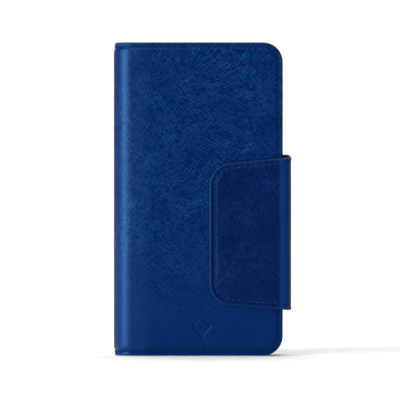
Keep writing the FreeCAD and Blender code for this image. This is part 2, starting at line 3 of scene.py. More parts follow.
import bpy
import numpy as np
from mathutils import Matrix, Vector


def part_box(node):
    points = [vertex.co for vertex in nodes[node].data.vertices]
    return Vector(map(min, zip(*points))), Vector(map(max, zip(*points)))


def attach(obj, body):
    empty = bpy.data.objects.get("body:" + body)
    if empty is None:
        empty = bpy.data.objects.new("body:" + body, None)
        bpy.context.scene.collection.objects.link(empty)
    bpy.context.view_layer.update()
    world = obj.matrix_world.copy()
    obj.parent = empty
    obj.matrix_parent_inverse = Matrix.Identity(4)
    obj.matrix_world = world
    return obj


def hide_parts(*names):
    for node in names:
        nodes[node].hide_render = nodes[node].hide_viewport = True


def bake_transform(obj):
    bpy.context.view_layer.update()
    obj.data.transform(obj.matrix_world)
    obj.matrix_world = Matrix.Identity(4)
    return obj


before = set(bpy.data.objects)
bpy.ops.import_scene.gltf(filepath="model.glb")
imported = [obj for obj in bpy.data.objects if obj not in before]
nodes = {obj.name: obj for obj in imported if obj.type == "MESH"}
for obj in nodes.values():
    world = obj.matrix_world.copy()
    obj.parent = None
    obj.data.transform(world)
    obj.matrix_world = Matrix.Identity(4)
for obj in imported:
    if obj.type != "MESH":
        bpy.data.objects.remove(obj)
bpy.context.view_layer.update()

# ------------------------------------------------------------------ places, in mm


def box(n):
    lo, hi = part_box(n)
    return lo * 1000, hi * 1000


fs_lo, fs_hi = box("front_skin")
bs_lo, bs_hi = box("back_skin")
ts_lo, ts_hi = box("flap_tongue_skin")
sd_lo, sd_hi = box("flap_side_skin")
rt_lo, rt_hi = box("flap_root_skin")
H = fs_hi.z
XR = fs_hi.x
XL = XR - 82.0
YF = fs_lo.y
YB = bs_hi.y
R = (YB - YF) / 2
CX, CY = XL + R, YF + R
XF = sd_hi.x
YT = ts_lo.y
TIP = ts_lo.x
CR = 9.7                       # corner radius of the covers
F_HEM, B_HEM, SP_HEM = 2.7, 2.2, 1.03
F_LIN, B_LIN, SP_LIN = 3.2, 2.7, 1.7
FLAP_ZLO, FLAP_ZHI = 22.1, 96.3
TT, TB = 0.0966, 0.0855
TR = 9.8
OUT_F, OUT_B = 4.5, 3.9
CFX, CFY = XF - OUT_F, YT + OUT_F
CBX, CBY = XF - OUT_B, YB - 1.0 - OUT_B
YI = YF + F_LIN                # inner face of the front lining
LAYER = 0.6
rng = np.random.default_rng(7)


# ------------------------------------------------------------------ mesh helpers

def lattice(n, seed):
    return np.random.default_rng(seed).random((n, n))


_lat = [lattice(64, 11), lattice(64, 12), lattice(64, 13)]


def smooth_noise(u, v, size, k=0):
    """Smooth value noise from -1 to 1 with features of about the given size in mm."""
    g = _lat[k]
    a, b = np.asarray(u) / size + 100, np.asarray(v) / size + 100
    i, j = np.floor(a).astype(int), np.floor(b).astype(int)
    fa, fb = a - i, b - j
    fa, fb = fa * fa * (3 - 2 * fa), fb * fb * (3 - 2 * fb)
    n = g.shape[0]
    q = lambda x, y: g[x % n, y % n]
    val = (q(i, j) * (1 - fa) * (1 - fb) + q(i + 1, j) * fa * (1 - fb) + q(i, j + 1) * (1 - fa) * fb + q(i + 1, j + 1) * fa * fb)
    return val * 2 - 1


def smoothstep(x, a, b):
    t = np.clip((np.asarray(x, float) - a) / (b - a), 0, 1)
    return t * t * (3 - 2 * t)


def make(name, co, faces, mats, uv=None, seam=None, out=None, probe=None, index=None, solid=0.0, body=None, smooth=True):
    """A mesh object from points in mm. out is the way face number probe should look."""
    co = np.asarray(co, float)
    faces = [tuple(int(i) for i in f) for f in faces]
    if out is not None:
        f = faces[len(faces) // 2 if probe is None else probe]
        n = np.cross(co[f[1]] - co[f[0]], co[f[2]] - co[f[0]])
        if n @ np.asarray(out, float) < 0:
            faces = [f[::-1] for f in faces]
    me = bpy.data.meshes.new(name)
    me.from_pydata((co / 1000.0).tolist(), [], faces)
    for key, data in (("Surface", uv), ("Seam", seam)):
        if data is None:
            continue
        layer = me.uv_layers.new(name=key)
        loops = np.zeros(len(me.loops), np.int32)
        me.loops.foreach_get("vertex_index", loops)
        layer.data.foreach_set("uv", np.asarray(data, np.float32)[loops].ravel())
    for m in mats:
        me.materials.append(m)
    if index is not None:
        me.polygons.foreach_set("material_index", np.asarray(index, np.int32))
    me.polygons.foreach_set("use_smooth", np.full(len(me.polygons), smooth))
    me.update()
    ob = bpy.data.objects.new(name, me)
    bpy.context.scene.collection.objects.link(ob)
    if solid:
        md = ob.modifiers.new("thick", "SOLIDIFY")
        md.thickness = solid / 1000.0
        md.offset = -1.0
        md.use_rim = True
        apply_modifiers(ob)
    ob.data.set_sharp_from_angle(angle=math.radians(50))
    return ob


def apply_modifiers(ob):
    dg = bpy.context.evaluated_depsgraph_get()
    dg.update()
    me = bpy.data.meshes.new_from_object(ob.evaluated_get(dg), preserve_all_data_layers=True, depsgraph=dg)
    ob.modifiers.clear()
    old = ob.data
    ob.data = me
    me.name = ob.name
    bpy.data.meshes.remove(old)


def grid_faces(ni, nj, skip=None):
    """Quads of a grid whose point (i, j) has number i * nj + j."""
    i, j = np.meshgrid(np.arange(ni - 1), np.arange(nj - 1), indexing="ij")
    a = i * nj + j
    f = np.stack([a, a + nj, a + nj + 1, a + 1], -1).reshape(-1, 4)
    if skip is not None:
        f = f[~skip.reshape(-1)]
    return f


def steps(a, b, step):
    n = max(1, int(math.ceil(abs(b - a) / step)))
    return np.linspace(a, b, n + 1)


def refined(a, b, step, fine, lo, hi):
    """Spacing step from a to b, but fine between lo and hi."""
    return np.concatenate([steps(a, lo, step)[:-1], steps(lo, hi, fine)[:-1], steps(hi, b, step)])


def full_profile(r, d0, tail, step=0.9):
    """From the corner zone's inner border to the first point of tail, then tail."""
    s1 = tail[0][0]
    if r - s1 > 1e-6:
        n = max(1, int(math.ceil((r - s1) / step)))
        head = [(r + (s1 - r) * i / n, d0 + (tail[0][1] - d0) * (i / n) ** 2) for i in range(n)]
    else:
        head = []
    p = np.array(head + list(tail), float)
    a = np.concatenate([[0], np.cumsum(np.hypot(np.diff(p[:, 0]), np.diff(p[:, 1])))])
    return p[:, 0], p[:, 1], a


def sheet_grid(xs, x_right, z0, z1, r, prof, zs, left=None):
    """A sheet with rounded right corners. xs are its columns up to x_right - r, zs its rows between z0 + r and z1 - r.
    prof is the edge's section. Returns a dict of arrays x, z, d, u, v, the distance from the edge, the grid's indices
    and corner angles, and L, the number of left columns.
    left is a section for a left edge with square corners: (s, d) outwards from the first column."""
    ps, pd, pa = prof
    K = len(ps)
    ls = ld = la = None
    L = 0
    if left is not None:
        ls, ld, la = left
        L = len(ls)
    kx = np.concatenate([np.zeros(L + len(xs), int), np.arange(1, K)])
    X = np.concatenate([np.full(L, xs[0]), xs, np.full(K - 1, x_right - r)])
    kz = np.concatenate([np.arange(K - 1, 0, -1), np.zeros(len(zs), int), np.arange(1, K)])
    side = np.concatenate([-np.ones(K - 1), np.zeros(len(zs)), np.ones(K - 1)])
    Z = np.concatenate([np.full(K - 1, z0 + r), zs, np.full(K - 1, z1 - r)])
    KX, KZ = np.meshgrid(kx, kz, indexing="ij")
    XX, ZZ = np.meshgrid(X, Z, indexing="ij")
    SS = np.meshgrid(kx, side, indexing="ij")[1]
    k = np.maximum(KX, KZ)
    ax, az = pa[KX], pa[KZ]
    big, small = np.maximum(ax, az), np.minimum(ax, az)
    with np.errstate(invalid="ignore", divide="ignore"):
        t = np.where(big > 0, small / np.maximum(big, 1e-9), 0.0)
    corner = (KX > 0) & (KZ > 0)
    phi = np.where(KX >= KZ, math.pi / 4 * t, math.pi / 2 - math.pi / 4 * t)
    phi = np.where(corner, phi, np.where(KX > 0, 0.0, math.pi / 2))
    rad = r - ps[k]
    x = np.where(KX > 0, XX + rad * np.cos(phi), XX)
    z = np.where(KZ > 0, ZZ + SS * rad * np.sin(phi), ZZ)
    d = np.where(k > 0, pd[k], pd[0])
    u = np.where(KX > 0, XX + pa[k] * np.cos(phi), XX)
    v = np.where(KZ > 0, ZZ + SS * pa[k] * np.sin(phi), ZZ)
    edge = np.where(k > 0, ps[k], 99.0)
    if L:
        for n in range(L):
            i = L - 1 - n
            x[i, :] = xs[0] - ls[n]
            d[i, :] = np.maximum(d[i, :], ld[n])
            u[i, :] = xs[0] - la[n]
    return {"x": x, "z": z, "d": d, "u": u, "v": v, "k": k, "phi": phi, "side": SS, "edge": edge, "kx": KX, "kz": KZ, "L": L}


def seam_places(g, x_start, x_right, z0, z1, r, inset, pitch):
    """Seam coordinates for a sheet_grid: stitches counted from the start, and mm from the seam's line."""
    l1 = (x_right - r) - x_start
    l2 = (r - inset) * math.pi / 2
    l3 = (z1 - z0) - 2 * r
    total = 2 * l1 + 2 * l2 + l3
    n = round(total / pitch)
    step = total / n
    x, z, phi, side = g["x"], g["z"], g["phi"], g["side"]
    top = side > 0
    bottom = side < 0
    p = np.zeros_like(x)
    straight_x = (g["kx"] == 0)
    p = np.where(top & straight_x, x - x_start, p)
    p = np.where(top & ~straight_x, l1 + (math.pi / 2 - phi) * (r - inset), p)
    p = np.where(side == 0, l1 + l2 + (z1 - r - z), p)
    p = np.where(bottom & ~straight_x, l1 + l2 + l3 + phi * (r - inset), p)
    p = np.where(bottom & straight_x, total - (x - x_start), p)
    return p / step, g["edge"] - inset, step, n


def seam_centres(x_start, x_right, z0, z1, r, inset, pitch):
    """Middle and direction of each stitch in the XZ plane."""
    l1 = (x_right - r) - x_start
    l2 = (r - inset) * math.pi / 2
    l3 = (z1 - z0) - 2 * r
    total = 2 * l1 + 2 * l2 + l3
    n = round(total / pitch)
    step = total / n
    out = []
    for i in range(n):
        s = (i + 0.5) * step
        q = r - inset
        if s < l1:
            out.append((x_start + s, z1 - inset, 1.0, 0.0))
        elif s < l1 + l2:
            a = math.pi / 2 - (s - l1) / q
            out.append((x_right - r + q * math.cos(a), z1 - r + q * math.sin(a), math.sin(a), -math.cos(a)))
        elif s < l1 + l2 + l3:
            out.append((x_right - inset, z1 - r - (s - l1 - l2), 0.0, -1.0))
        elif s < l1 + 2 * l2 + l3:
            a = -(s - l1 - l2 - l3) / q
            out.append((x_right - r + q * math.cos(a), z0 + r + q * math.sin(a), math.sin(a), -math.cos(a)))
        else:
            out.append((x_right - r - (s - l1 - 2 * l2 - l3), z0 + inset, -1.0, 0.0))
    return out, step


def thread(name, places, length, mat, body=None, strand=0.15, rise=0.16, sink=0.42, spread=0.13):
    """Twisted two-strand stitches. places: (point, direction, outward) in mm."""
    nt, ns = 13, 7
    t = np.linspace(-1, 1, nt)
    a = np.linspace(0, 2 * math.pi, ns, endpoint=False)
    V, F = [], []
    for n, (c, T, N) in enumerate(places):
        c, T, N = np.asarray(c, float), np.asarray(T, float), np.asarray(N, float)
        B = np.cross(T, N)
        jit = 0.06 * math.sin(n * 2.4) + 0.03 * math.sin(n * 5.1)
        tilt = 0.045 + 0.02 * math.sin(n * 1.7)
        T2 = T + B * tilt
        T2 = T2 / np.linalg.norm(T2)
        B2 = np.cross(T2, N)
        for s in (0, 1):
            ph = s * math.pi + n * 0.9
            w = 2.6
            off_b = spread * np.cos(w * t * 1.6 + ph)
            off_n = spread * 0.55 * np.sin(w * t * 1.6 + ph)
            h = rise * (1 - np.abs(t) ** 3.2) - sink * np.clip((np.abs(t) - 0.72) / 0.28, 0, 1) ** 1.6
            taper = 1 - 0.35 * np.abs(t) ** 6
            mid = c + np.outer(t * (length / 2) * (1 + jit * 0.3), T2) + np.outer(off_b * taper, B2) + np.outer(off_n + h, N)
            rr = strand * taper
            base = len(V) * 1
            ring = mid[:, None, :] + rr[:, None, None] * (np.cos(a)[None, :, None] * B2 + np.sin(a)[None, :, None] * N)
            start = sum(len(x) for x in V)
            V.append(ring.reshape(-1, 3))
            for i in range(nt - 1):
                for j in range(ns):
                    k = (j + 1) % ns
                    F.append((start + i * ns + j, start + i * ns + k, start + (i + 1) * ns + k, start + (i + 1) * ns + j))
            F.append(tuple(start + j for j in range(ns))[::-1])
            F.append(tuple(start + (nt - 1) * ns + j for j in range(ns)))
    co = np.concatenate(V)
    ob = make(name, co, F, [mat])
    return ob


# ------------------------------------------------------------------ node helpers

class Mat:
    """Short ways to write a node material."""

    def __init__(self, name):
        self.m = bpy.data.materials.new(name)
        self.m.use_nodes = True
        self.t = self.m.node_tree
        self.b = next(n for n in self.t.nodes if n.type == "BSDF_PRINCIPLED")

    def put(self, socket, value):
        if isinstance(value, bpy.types.NodeSocket):
            self.t.links.new(value, socket)
        else:
            socket.default_value = value

    def node(self, kind, **kw):
        n = self.t.nodes.new(kind)
        for k, v in kw.items():
            setattr(n, k, v)
        return n

    def uv(self, name="Surface"):
        return self.node("ShaderNodeUVMap", uv_map=name).outputs[0]

    def obj(self):
        return self.node("ShaderNodeTexCoord").outputs["Object"]

    def math(self, op, a, b=0.0, c=0.0, clamp=False):
        n = self.node("ShaderNodeMath", operation=op, use_clamp=clamp)
        self.put(n.inputs[0], a)
        self.put(n.inputs[1], b)
        if op in ("MULTIPLY_ADD", "SMOOTH_MIN", "SMOOTH_MAX"):
            self.put(n.inputs[2], c)
        return n.outputs[0]

    def vmath(self, op, a, b=(0, 0, 0), scale=None):
        n = self.node("ShaderNodeVectorMath", operation=op)
        self.put(n.inputs[0], a)
        if op != "SCALE":
            self.put(n.inputs[1], b)
        if scale is not None:
            self.put(n.inputs["Scale"], scale)
        return n.outputs[0]

    def mapping(self, vec, scale=(1, 1, 1), rot=0.0, loc=(0, 0, 0)):
        n = self.node("ShaderNodeMapping")
        self.put(n.inputs["Vector"], vec)
        n.inputs["Scale"].default_value = scale
        n.inputs["Rotation"].default_value = (0, 0, math.radians(rot))
        n.inputs["Location"].default_value = loc
        return n.outputs[0]

    def noise(self, vec, scale, detail=2.0, rough=0.5, dims="3D", out="Fac"):
        n = self.node("ShaderNodeTexNoise", noise_dimensions=dims)
        self.put(n.inputs["Vector"], vec)
        n.inputs["Scale"].default_value = scale
        n.inputs["Detail"].default_value = detail
        n.inputs["Roughness"].default_value = rough
        return n.outputs["Fac" if out == "Fac" else "Color"]

    def cells(self, vec, scale, rand=1.0):
        n = self.node("ShaderNodeTexVoronoi", feature="DISTANCE_TO_EDGE", voronoi_dimensions="2D")
        self.put(n.inputs["Vector"], vec)
        n.inputs["Scale"].default_value = scale
        n.inputs["Randomness"].default_value = rand
        return n.outputs["Distance"]

    def ramp(self, x, a, b, va=0.0, vb=1.0, smooth=True):
        n = self.node("ShaderNodeMapRange", interpolation_type="SMOOTHSTEP" if smooth else "LINEAR")
        self.put(n.inputs["Value"], x)
        self.put(n.inputs["From Min"], a)
        self.put(n.inputs["From Max"], b)
        self.put(n.inputs["To Min"], va)
        self.put(n.inputs["To Max"], vb)
        return n.outputs["Result"]

    def mix(self, fac, a, b, kind="MIX"):
        n = self.node("ShaderNodeMix", data_type="RGBA", blend_type=kind)
        self.put(n.inputs[0], fac)
        self.put(n.inputs[6], a)
        self.put(n.inputs[7], b)
        return n.outputs[2]

    def bump(self, height, dist, strength=1.0, normal=None):
        n = self.node("ShaderNodeBump")
        self.put(n.inputs["Height"], height)
        n.inputs["Distance"].default_value = dist
        n.inputs["Strength"].default_value = strength
        if normal is not None:
            self.put(n.inputs["Normal"], normal)
        return n.outputs["Normal"]

    def set(self, **kw):
        for k, v in kw.items():
            self.put(self.b.inputs[k.replace("_", " ")], v)
        return self


def rgb(r, g, b):
    return (r, g, b, 1.0)


def leather(name, base, line, grain=1.0, seam=True, tint=(0.13, 0.48, 1.0), rough=0.40, spec=0.70, crease=1.0, shift=(0, 0, 0), calm_and_painted_light=None, bend=None,
            bump=1.0, edge=None, dull=None):
    """Smooth leathercloth: two families of fine crossed creases that flow in arcs and come and go in patches,
    a few long folds, and needle holes along the seam. The creases are coloured lighter, partly as grain and partly as a
    painted highlight where their ridges would catch the light; the needle holes and the seam's line are painted darker
    as painted shade. calm is the height up to which the grain is smoother and the base colour lighter, painted light
    that makes up for the light falling off towards the bottom; bend is (u, width, colour) of a lighter band painted
    where the strap turns, a painted highlight; edge is (place, width, colour) of a lighter line painted along the edge,
    a painted highlight; dull is the stretch of u, with its level of reflection, where the side of the spine is matt,
    and where and by how much the flat front is less glossy than the rubbed spine."""
    m = Mat(name)
    raw = m.uv()
    v = m.vmath("ADD", raw, shift)                      # mm
    flow = m.vmath("SUBTRACT", m.noise(v, 0.028, 0.0, out="Color"), (0.5, 0.5, 0.5))
    wob = m.vmath("SUBTRACT", m.noise(v, 0.16, 1.0, out="Color"), (0.5, 0.5, 0.5))
    w = m.vmath("ADD", v, m.vmath("SCALE", flow, scale=13.0))
    w = m.vmath("ADD", w, m.vmath("SCALE", wob, scale=1.3))

    def strokes(rot, pitch, length, width, loc, share):
        """Short thin creases lying side by side, each with its own breaks."""
        q = m.mapping(w, rot=rot, loc=loc)
        s = m.node("ShaderNodeSeparateXYZ")
        m.put(s.inputs[0], q)
        stray = m.math("SUBTRACT", m.noise(m.mapping(q, (0.9 / length, 0.42, 1.0)), 1.0, 1.0, 0.5), 0.5)
        across = m.math("ADD", m.math("DIVIDE", s.outputs[1], pitch), m.math("MULTIPLY", stray, 1.5))
        row = m.math("FLOOR", across)
        line_d = m.math("ABSOLUTE", m.math("SUBTRACT", m.math("FRACT", across), 0.5))
        at = m.node("ShaderNodeCombineXYZ")
        m.put(at.inputs[0], m.math("DIVIDE", s.outputs[0], length))
        m.put(at.inputs[1], m.math("MULTIPLY", row, 7.31))
        k = m.ramp(m.noise(at.outputs[0], 1.0, 1.0, 0.5), share, share + 0.16)
        return m.math("MULTIPLY", m.ramp(line_d, 0.02, width, 1.0, 0.0), k)

    pa = m.ramp(m.noise(v, 0.075, 1.5), 0.38, 0.62)
    pb = m.ramp(m.noise(m.mapping(v, loc=(41, 17, 3)), 0.075, 1.5), 0.38, 0.62)
    la = strokes(44, 1.15, 3.6, 0.26, (0, 0, 0), 0.38)
    lb = strokes(-43, 1.15, 3.6, 0.26, (13, 5, 0), 0.38)
    lc = strokes(-20, 0.95, 2.0, 0.26, (31, 3, 0), 0.42)
    lbig = strokes(-38, 6.5, 14.0, 0.055, (9, 2, 0), 0.55)
    lines = m.math("ADD", m.math("MULTIPLY", la, m.math("MULTIPLY_ADD", pa, 0.40, 0.30)), m.math("MULTIPLY", lb, m.math("MULTIPLY_ADD", pb, 0.40, 0.30)))
    lines = m.math("ADD", lines, m.math("MULTIPLY", lc, 0.26))
    lines = m.math("ADD", lines, m.math("MULTIPLY", lbig, crease * 0.7))
    lines = m.math("MINIMUM", lines, 1.5)
    base_col = rgb(*base)
    amount = m.ramp(m.noise(m.mapping(v, loc=(3, 77, 1)), 0.05, 1.5), 0.35, 0.62, 0.88, 1.08)
    if calm_and_painted_light is not None:
        sp = m.node("ShaderNodeSeparateXYZ")
        m.put(sp.inputs[0], raw)
        amount = m.math("MULTIPLY", amount, m.ramp(sp.outputs[1], calm_and_painted_light[0], calm_and_painted_light[1], calm_and_painted_light[2], 1.0))
        # painted light: towards the bottom the base colour turns lighter, making up for the light falling off there
        base_col = m.mix(m.ramp(sp.outputs[1], calm_and_painted_light[0], calm_and_painted_light[1], 1.0, 0.0), rgb(*base), rgb(*calm_and_painted_light[3]))
    lines = m.math("MULTIPLY", lines, m.math("MULTIPLY", amount, grain))
    fine = m.noise(v, 1.7, 2.0, 0.6)
    pores = m.cells(m.mapping(v, rot=20), 2.6)
    height = m.math("MULTIPLY_ADD", lines, 0.80, m.math("MULTIPLY", fine, 0.35 * grain))
    height = m.math("ADD", height, m.math("MULTIPLY", m.ramp(pores, 0.0, 0.25), 0.10))
    tone = m.ramp(m.noise(v, 0.055, 2.0), 0.30, 0.70, 0.95, 1.05, smooth=False)
    tone = m.math("MULTIPLY", tone, m.ramp(fine, 0.25, 0.75, 0.88, 1.12, smooth=False))
    # the lighter crease colour is partly grain and partly a painted highlight where the crease ridges would catch the
    # light
    col = m.mix(m.math("MULTIPLY", lines, 0.75, clamp=True), base_col, rgb(*line))
    # painted highlight: a lighter band painted across the strap where it turns round its bend
    if bend is not None:
        su = m.node("ShaderNodeSeparateXYZ")
        m.put(su.inputs[0], raw)
        k = m.ramp(su.outputs[0], bend[0], bend[0] + bend[1])
        col = m.mix(m.math("MULTIPLY", k, 0.92), col, m.mix(m.math("MULTIPLY", lines, 0.3, clamp=True), rgb(*bend[2]), rgb(*line)))
    col = m.mix(1.0, col, tone, "MULTIPLY")
    rgh = m.math("ADD", m.ramp(m.noise(v, 0.35, 2.0), 0.3, 0.7, rough - 0.03, rough + 0.04, smooth=False), m.math("MULTIPLY", lines, -0.04))
    if seam:
        s = m.uv("Seam")
        sep = m.node("ShaderNodeSeparateXYZ")
        m.put(sep.inputs[0], s)
        fx = m.math("ABSOLUTE", m.math("SUBTRACT", m.math("FRACT", m.math("ADD", sep.outputs[0], 0.5)), 0.5))
        fx = m.math("MULTIPLY", fx, 2.88)
        dist = m.math("SQRT", m.math("ADD", m.math("POWER", fx, 2.0), m.math("POWER", m.math("MULTIPLY", sep.outputs[1], 1.15), 2.0)))
        hole = m.ramp(dist, 0.18, 0.46, 1.0, 0.0)
        pull = m.ramp(dist, 0.2, 1.1, 1.0, 0.0)
        near = m.ramp(m.math("ABSOLUTE", sep.outputs[1]), 0.35, 0.95, 1.0, 0.0)
        # painted highlight: a thin lighter line painted along the edge where it would catch the light
        if edge is not None:
            col = m.mix(m.ramp(sep.outputs[1], edge[0], edge[0] + edge[1], 0.9, 0.0), col, rgb(*edge[2]))
        # painted shade: the seam's groove is painted a little darker and the needle holes much darker
        col = m.mix(m.math("MULTIPLY", near, 0.22), col, rgb(base[0] * 0.3, base[1] * 0.45, base[2] * 0.5))
        col = m.mix(m.math("MULTIPLY", hole, 0.80), col, rgb(base[0] * 0.08, base[1] * 0.10, base[2] * 0.14))
        height = m.math("SUBTRACT", height, m.math("ADD", m.math("MULTIPLY", hole, 2.0), m.math("MULTIPLY", pull, 0.5)))
    nrm = m.bump(height, 0.00012 * bump, 0.8)
    m.set(Base_Color=col, Roughness=rgh, Normal=nrm)
    m.b.inputs["Specular IOR Level"].default_value = spec
    if dull is not None:
        sd = m.node("ShaderNodeSeparateXYZ")
        m.put(sd.inputs[0], raw)
        worn = m.math("MAXIMUM", m.ramp(sd.outputs[0], dull[0], dull[1], 1.0, 0.0), m.ramp(sd.outputs[0], dull[2], dull[3], 0.0, 1.0))
        level = m.math("MULTIPLY_ADD", worn, spec - dull[4], dull[4])
        m.put(m.b.inputs["Specular IOR Level"], m.math("MULTIPLY", level, m.ramp(sd.outputs[0], dull[5], dull[6], 1.0, dull[7])))
    m.b.inputs["Specular Tint"].default_value = rgb(*tint)
    return m.m


def cloth(name, base, other, scale=2.6, rough=0.92, nap=0.00006, sheen=0.25):
    m = Mat(name)
    v = m.uv()
    fibre = m.noise(m.mapping(m.mapping(v, rot=24), (1.0, 0.35, 1.0)), scale, 3.0, 0.65)
    cross = m.noise(m.mapping(m.mapping(v, rot=-31), (0.35, 1.0, 1.0)), scale * 1.2, 3.0, 0.65)
    tone = m.noise(v, 0.06, 2.0)
    mixf = m.math("MULTIPLY", m.math("ADD", fibre, cross), 0.5)
    col = m.mix(m.ramp(mixf, 0.32, 0.68), rgb(*base), rgb(*other))
    col = m.mix(m.ramp(tone, 0.3, 0.7, 0.0, 0.35), col, rgb(*[c * 0.7 for c in base]))
    m.set(Base_Color=col, Roughness=rough, Normal=m.bump(mixf, nap, 0.8))
    m.b.inputs["Sheen Weight"].default_value = sheen
    m.b.inputs["Sheen Roughness"].default_value = 0.6
    m.b.inputs["Sheen Tint"].default_value = rgb(0.25, 0.45, 1.0)
    m.b.inputs["Specular IOR Level"].default_value = 0.2
    return m.m


def thread_mat(name, base, lit):
    m = Mat(name)
    v = m.vmath("SCALE", m.obj(), scale=1000.0)
    f = m.noise(m.mapping(v, (1, 1, 1)), 5.0, 2.0, 0.6)
    wav = m.node("ShaderNodeTexWave", wave_type="BANDS", bands_direction="DIAGONAL")
    m.put(wav.inputs["Vector"], v)
    wav.inputs["Scale"].default_value = 2.2
    wav.inputs["Distortion"].default_value = 1.2
    k = m.math("MULTIPLY", m.math("ADD", f, wav.outputs["Fac"]), 0.5)
    m.set(Base_Color=m.mix(m.ramp(k, 0.25, 0.75), rgb(*base), rgb(*lit)), Roughness=m.ramp(f, 0.3, 0.7, 0.42, 0.6),
          Normal=m.bump(k, 0.00004, 0.7))
    m.b.inputs["Specular IOR Level"].default_value = 0.18
    m.b.inputs["Specular Tint"].default_value = rgb(0.25, 0.5, 1.0)
    return m.m


def moulded(name, base, rough=0.42, scale=2.2, spec=0.45, depth=0.00002):
    """Satin moulded plastic with a fine spark-eroded texture."""
    m = Mat(name)
    v = m.vmath("SCALE", m.obj(), scale=1000.0)
    f = m.noise(v, scale, 4.0, 0.6)
    c = m.noise(v, 0.05, 2.0)
    m.set(Base_Color=m.mix(m.ramp(c, 0.3, 0.7), rgb(*base), rgb(*[x * 1.35 for x in base])),
          Roughness=m.ramp(f, 0.3, 0.7, rough - 0.05, rough + 0.08), Normal=m.bump(f, depth, 0.6))
    m.b.inputs["Specular IOR Level"].default_value = spec
    return m.m


def board_mat(name):
    m = Mat(name)
    v = m.vmath("SCALE", m.obj(), scale=1000.0)
    f = m.noise(m.mapping(v, (1, 1, 0.3)), 1.6, 4.0, 0.65)
    fleck = m.ramp(m.noise(v, 1.1, 1.0), 0.62, 0.70)
    col = m.mix(m.ramp(f, 0.3, 0.7), rgb(0.24, 0.20, 0.15), rgb(0.36, 0.31, 0.24))
    m.set(Base_Color=m.mix(m.math("MULTIPLY", fleck, 0.5), col, rgb(0.10, 0.09, 0.08)), Roughness=0.9, Normal=m.bump(f, 0.00008, 0.6))
    return m.m


def foam_mat(name):
    m = Mat(name)
    v = m.vmath("SCALE", m.obj(), scale=1000.0)
    n = m.node("ShaderNodeTexVoronoi", feature="F1")
    m.put(n.inputs["Vector"], v)
    n.inputs["Scale"].default_value = 2.4
    m.set(Base_Color=m.mix(m.ramp(n.outputs["Distance"], 0.1, 0.6), rgb(0.35, 0.35, 0.34), rgb(0.62, 0.62, 0.60)), Roughness=0.85,
          Normal=m.bump(n.outputs["Distance"], 0.0001, 0.8))
    return m.m


def metal(name, base, rough, scale):
    m = Mat(name)
    v = m.vmath("SCALE", m.obj(), scale=1000.0)
    f = m.noise(m.mapping(v, (1, 1, 12)), scale, 3.0, 0.6)
    m.set(Base_Color=m.mix(m.ramp(f, 0.3, 0.7), rgb(*base), rgb(*[x * 0.8 for x in base])),
          Roughness=m.ramp(f, 0.3, 0.7, rough, rough + 0.12), Normal=m.bump(f, 0.00001, 0.5))
    m.b.inputs["Metallic"].default_value = 1.0
    return m.m


def film(name):
    m = Mat(name)
    v = m.vmath("SCALE", m.obj(), scale=1000.0)
    f = m.noise(v, 0.9, 3.0, 0.6)
    m.set(Base_Color=m.mix(m.ramp(f, 0.3, 0.7), rgb(0.62, 0.62, 0.58), rgb(0.72, 0.72, 0.68)), Roughness=m.ramp(f, 0.3, 0.7, 0.3, 0.5),
          Normal=m.bump(f, 0.00002, 0.5))
    return m.m


# painted light: the cover's base colour turns lighter towards the bottom to make up for the light falling off there
M_COVER = leather("leathercloth_blue", (0.0001, 0.0052, 0.0650), (0.0045, 0.0690, 0.2450), calm_and_painted_light=(5, 62, 0.30, (0.0001, 0.0120, 0.0920)), dull=(4.0, 9.0, 17.5, 22.0, 0.10, 31.0, 40.0, 0.45))
# painted highlights: a lighter band where the strap turns round its bend and a lighter line along the flap's edge
M_FLAP = leather("leathercloth_blue_flap", (0.0001, 0.0012, 0.0480), (0.0030, 0.0380, 0.1700), grain=0.75, spec=0.35, shift=(70, 30, 0),
                 bend=(233.2, 2.8, (0.0001, 0.0280, 0.1480)), edge=(-2.15, 0.30, (0.0020, 0.0300, 0.1300)))
M_POCKET = leather("pocket_leathercloth", (0.0012, 0.0120, 0.0580), (0.0040, 0.0320, 0.1100), grain=0.5, seam=False, rough=0.42, spec=0.45, crease=0.0, shift=(-50, 90, 0))
M_LINING = cloth("microfibre_lining", (0.0035, 0.016, 0.052), (0.0075, 0.030, 0.088))
M_THREAD = thread_mat("sewing_thread", (0.0006, 0.018, 0.095), (0.003, 0.045, 0.175))
M_THREAD_FLAP = thread_mat("sewing_thread_flap", (0.0010, 0.0330, 0.1350), (0.0060, 0.0700, 0.2500))
M_TRAY = moulded("tray_plastic", (0.012, 0.013, 0.016))
M_BOARD = board_mat("grey_board")
M_FOAM = foam_mat("closed_cell_padding")
M_STEEL = metal("steel_sheet", (0.50, 0.50, 0.48), 0.35, 0.5)
M_MAGNET = metal("magnet_plating", (0.62, 0.61, 0.58), 0.22, 0.8)
M_FILM = film("adhesive_film")

# ------------------------------------------------------------------ sections

COVER_TAIL = [(4.9, -0.07), (4.3, -0.02), (3.9, 0.04), (3.5, 0.13), (3.2, 0.23), (2.95, 0.34), (2.7, 0.45), (2.5, 0.52), (2.3, 0.57), (2.1, 0.59),
              (1.9, 0.585), (1.7, 0.55), (1.5, 0.49), (1.3, 0.43), (1.1, 0.39), (0.9, 0.375), (0.7, 0.40), (0.52, 0.46), (0.36, 0.56), (0.22, 0.70),
              (0.11, 0.87), (0.03, 1.0), (0.0, 1.2), (0.0, 1.5), (0.0, 1.85), (0.03, 2.1), (0.12, 2.35), (0.30, 2.55), (0.55, 2.66), (0.9, 2.7), (1.6, 2.7), (2.6, 2.7)]
PROF_COVER = full_profile(CR, -0.10, COVER_TAIL)
LINING_TAIL = [(3.0, 0.0), (1.8, 0.0), (1.2, 0.0), (0.95, 0.03), (0.78, 0.09), (0.66, 0.18), (0.58, 0.30), (0.54, 0.42), (0.52, 0.50)]
PROF_LINING = full_profile(CR, 0.0, LINING_TAIL, 1.4)


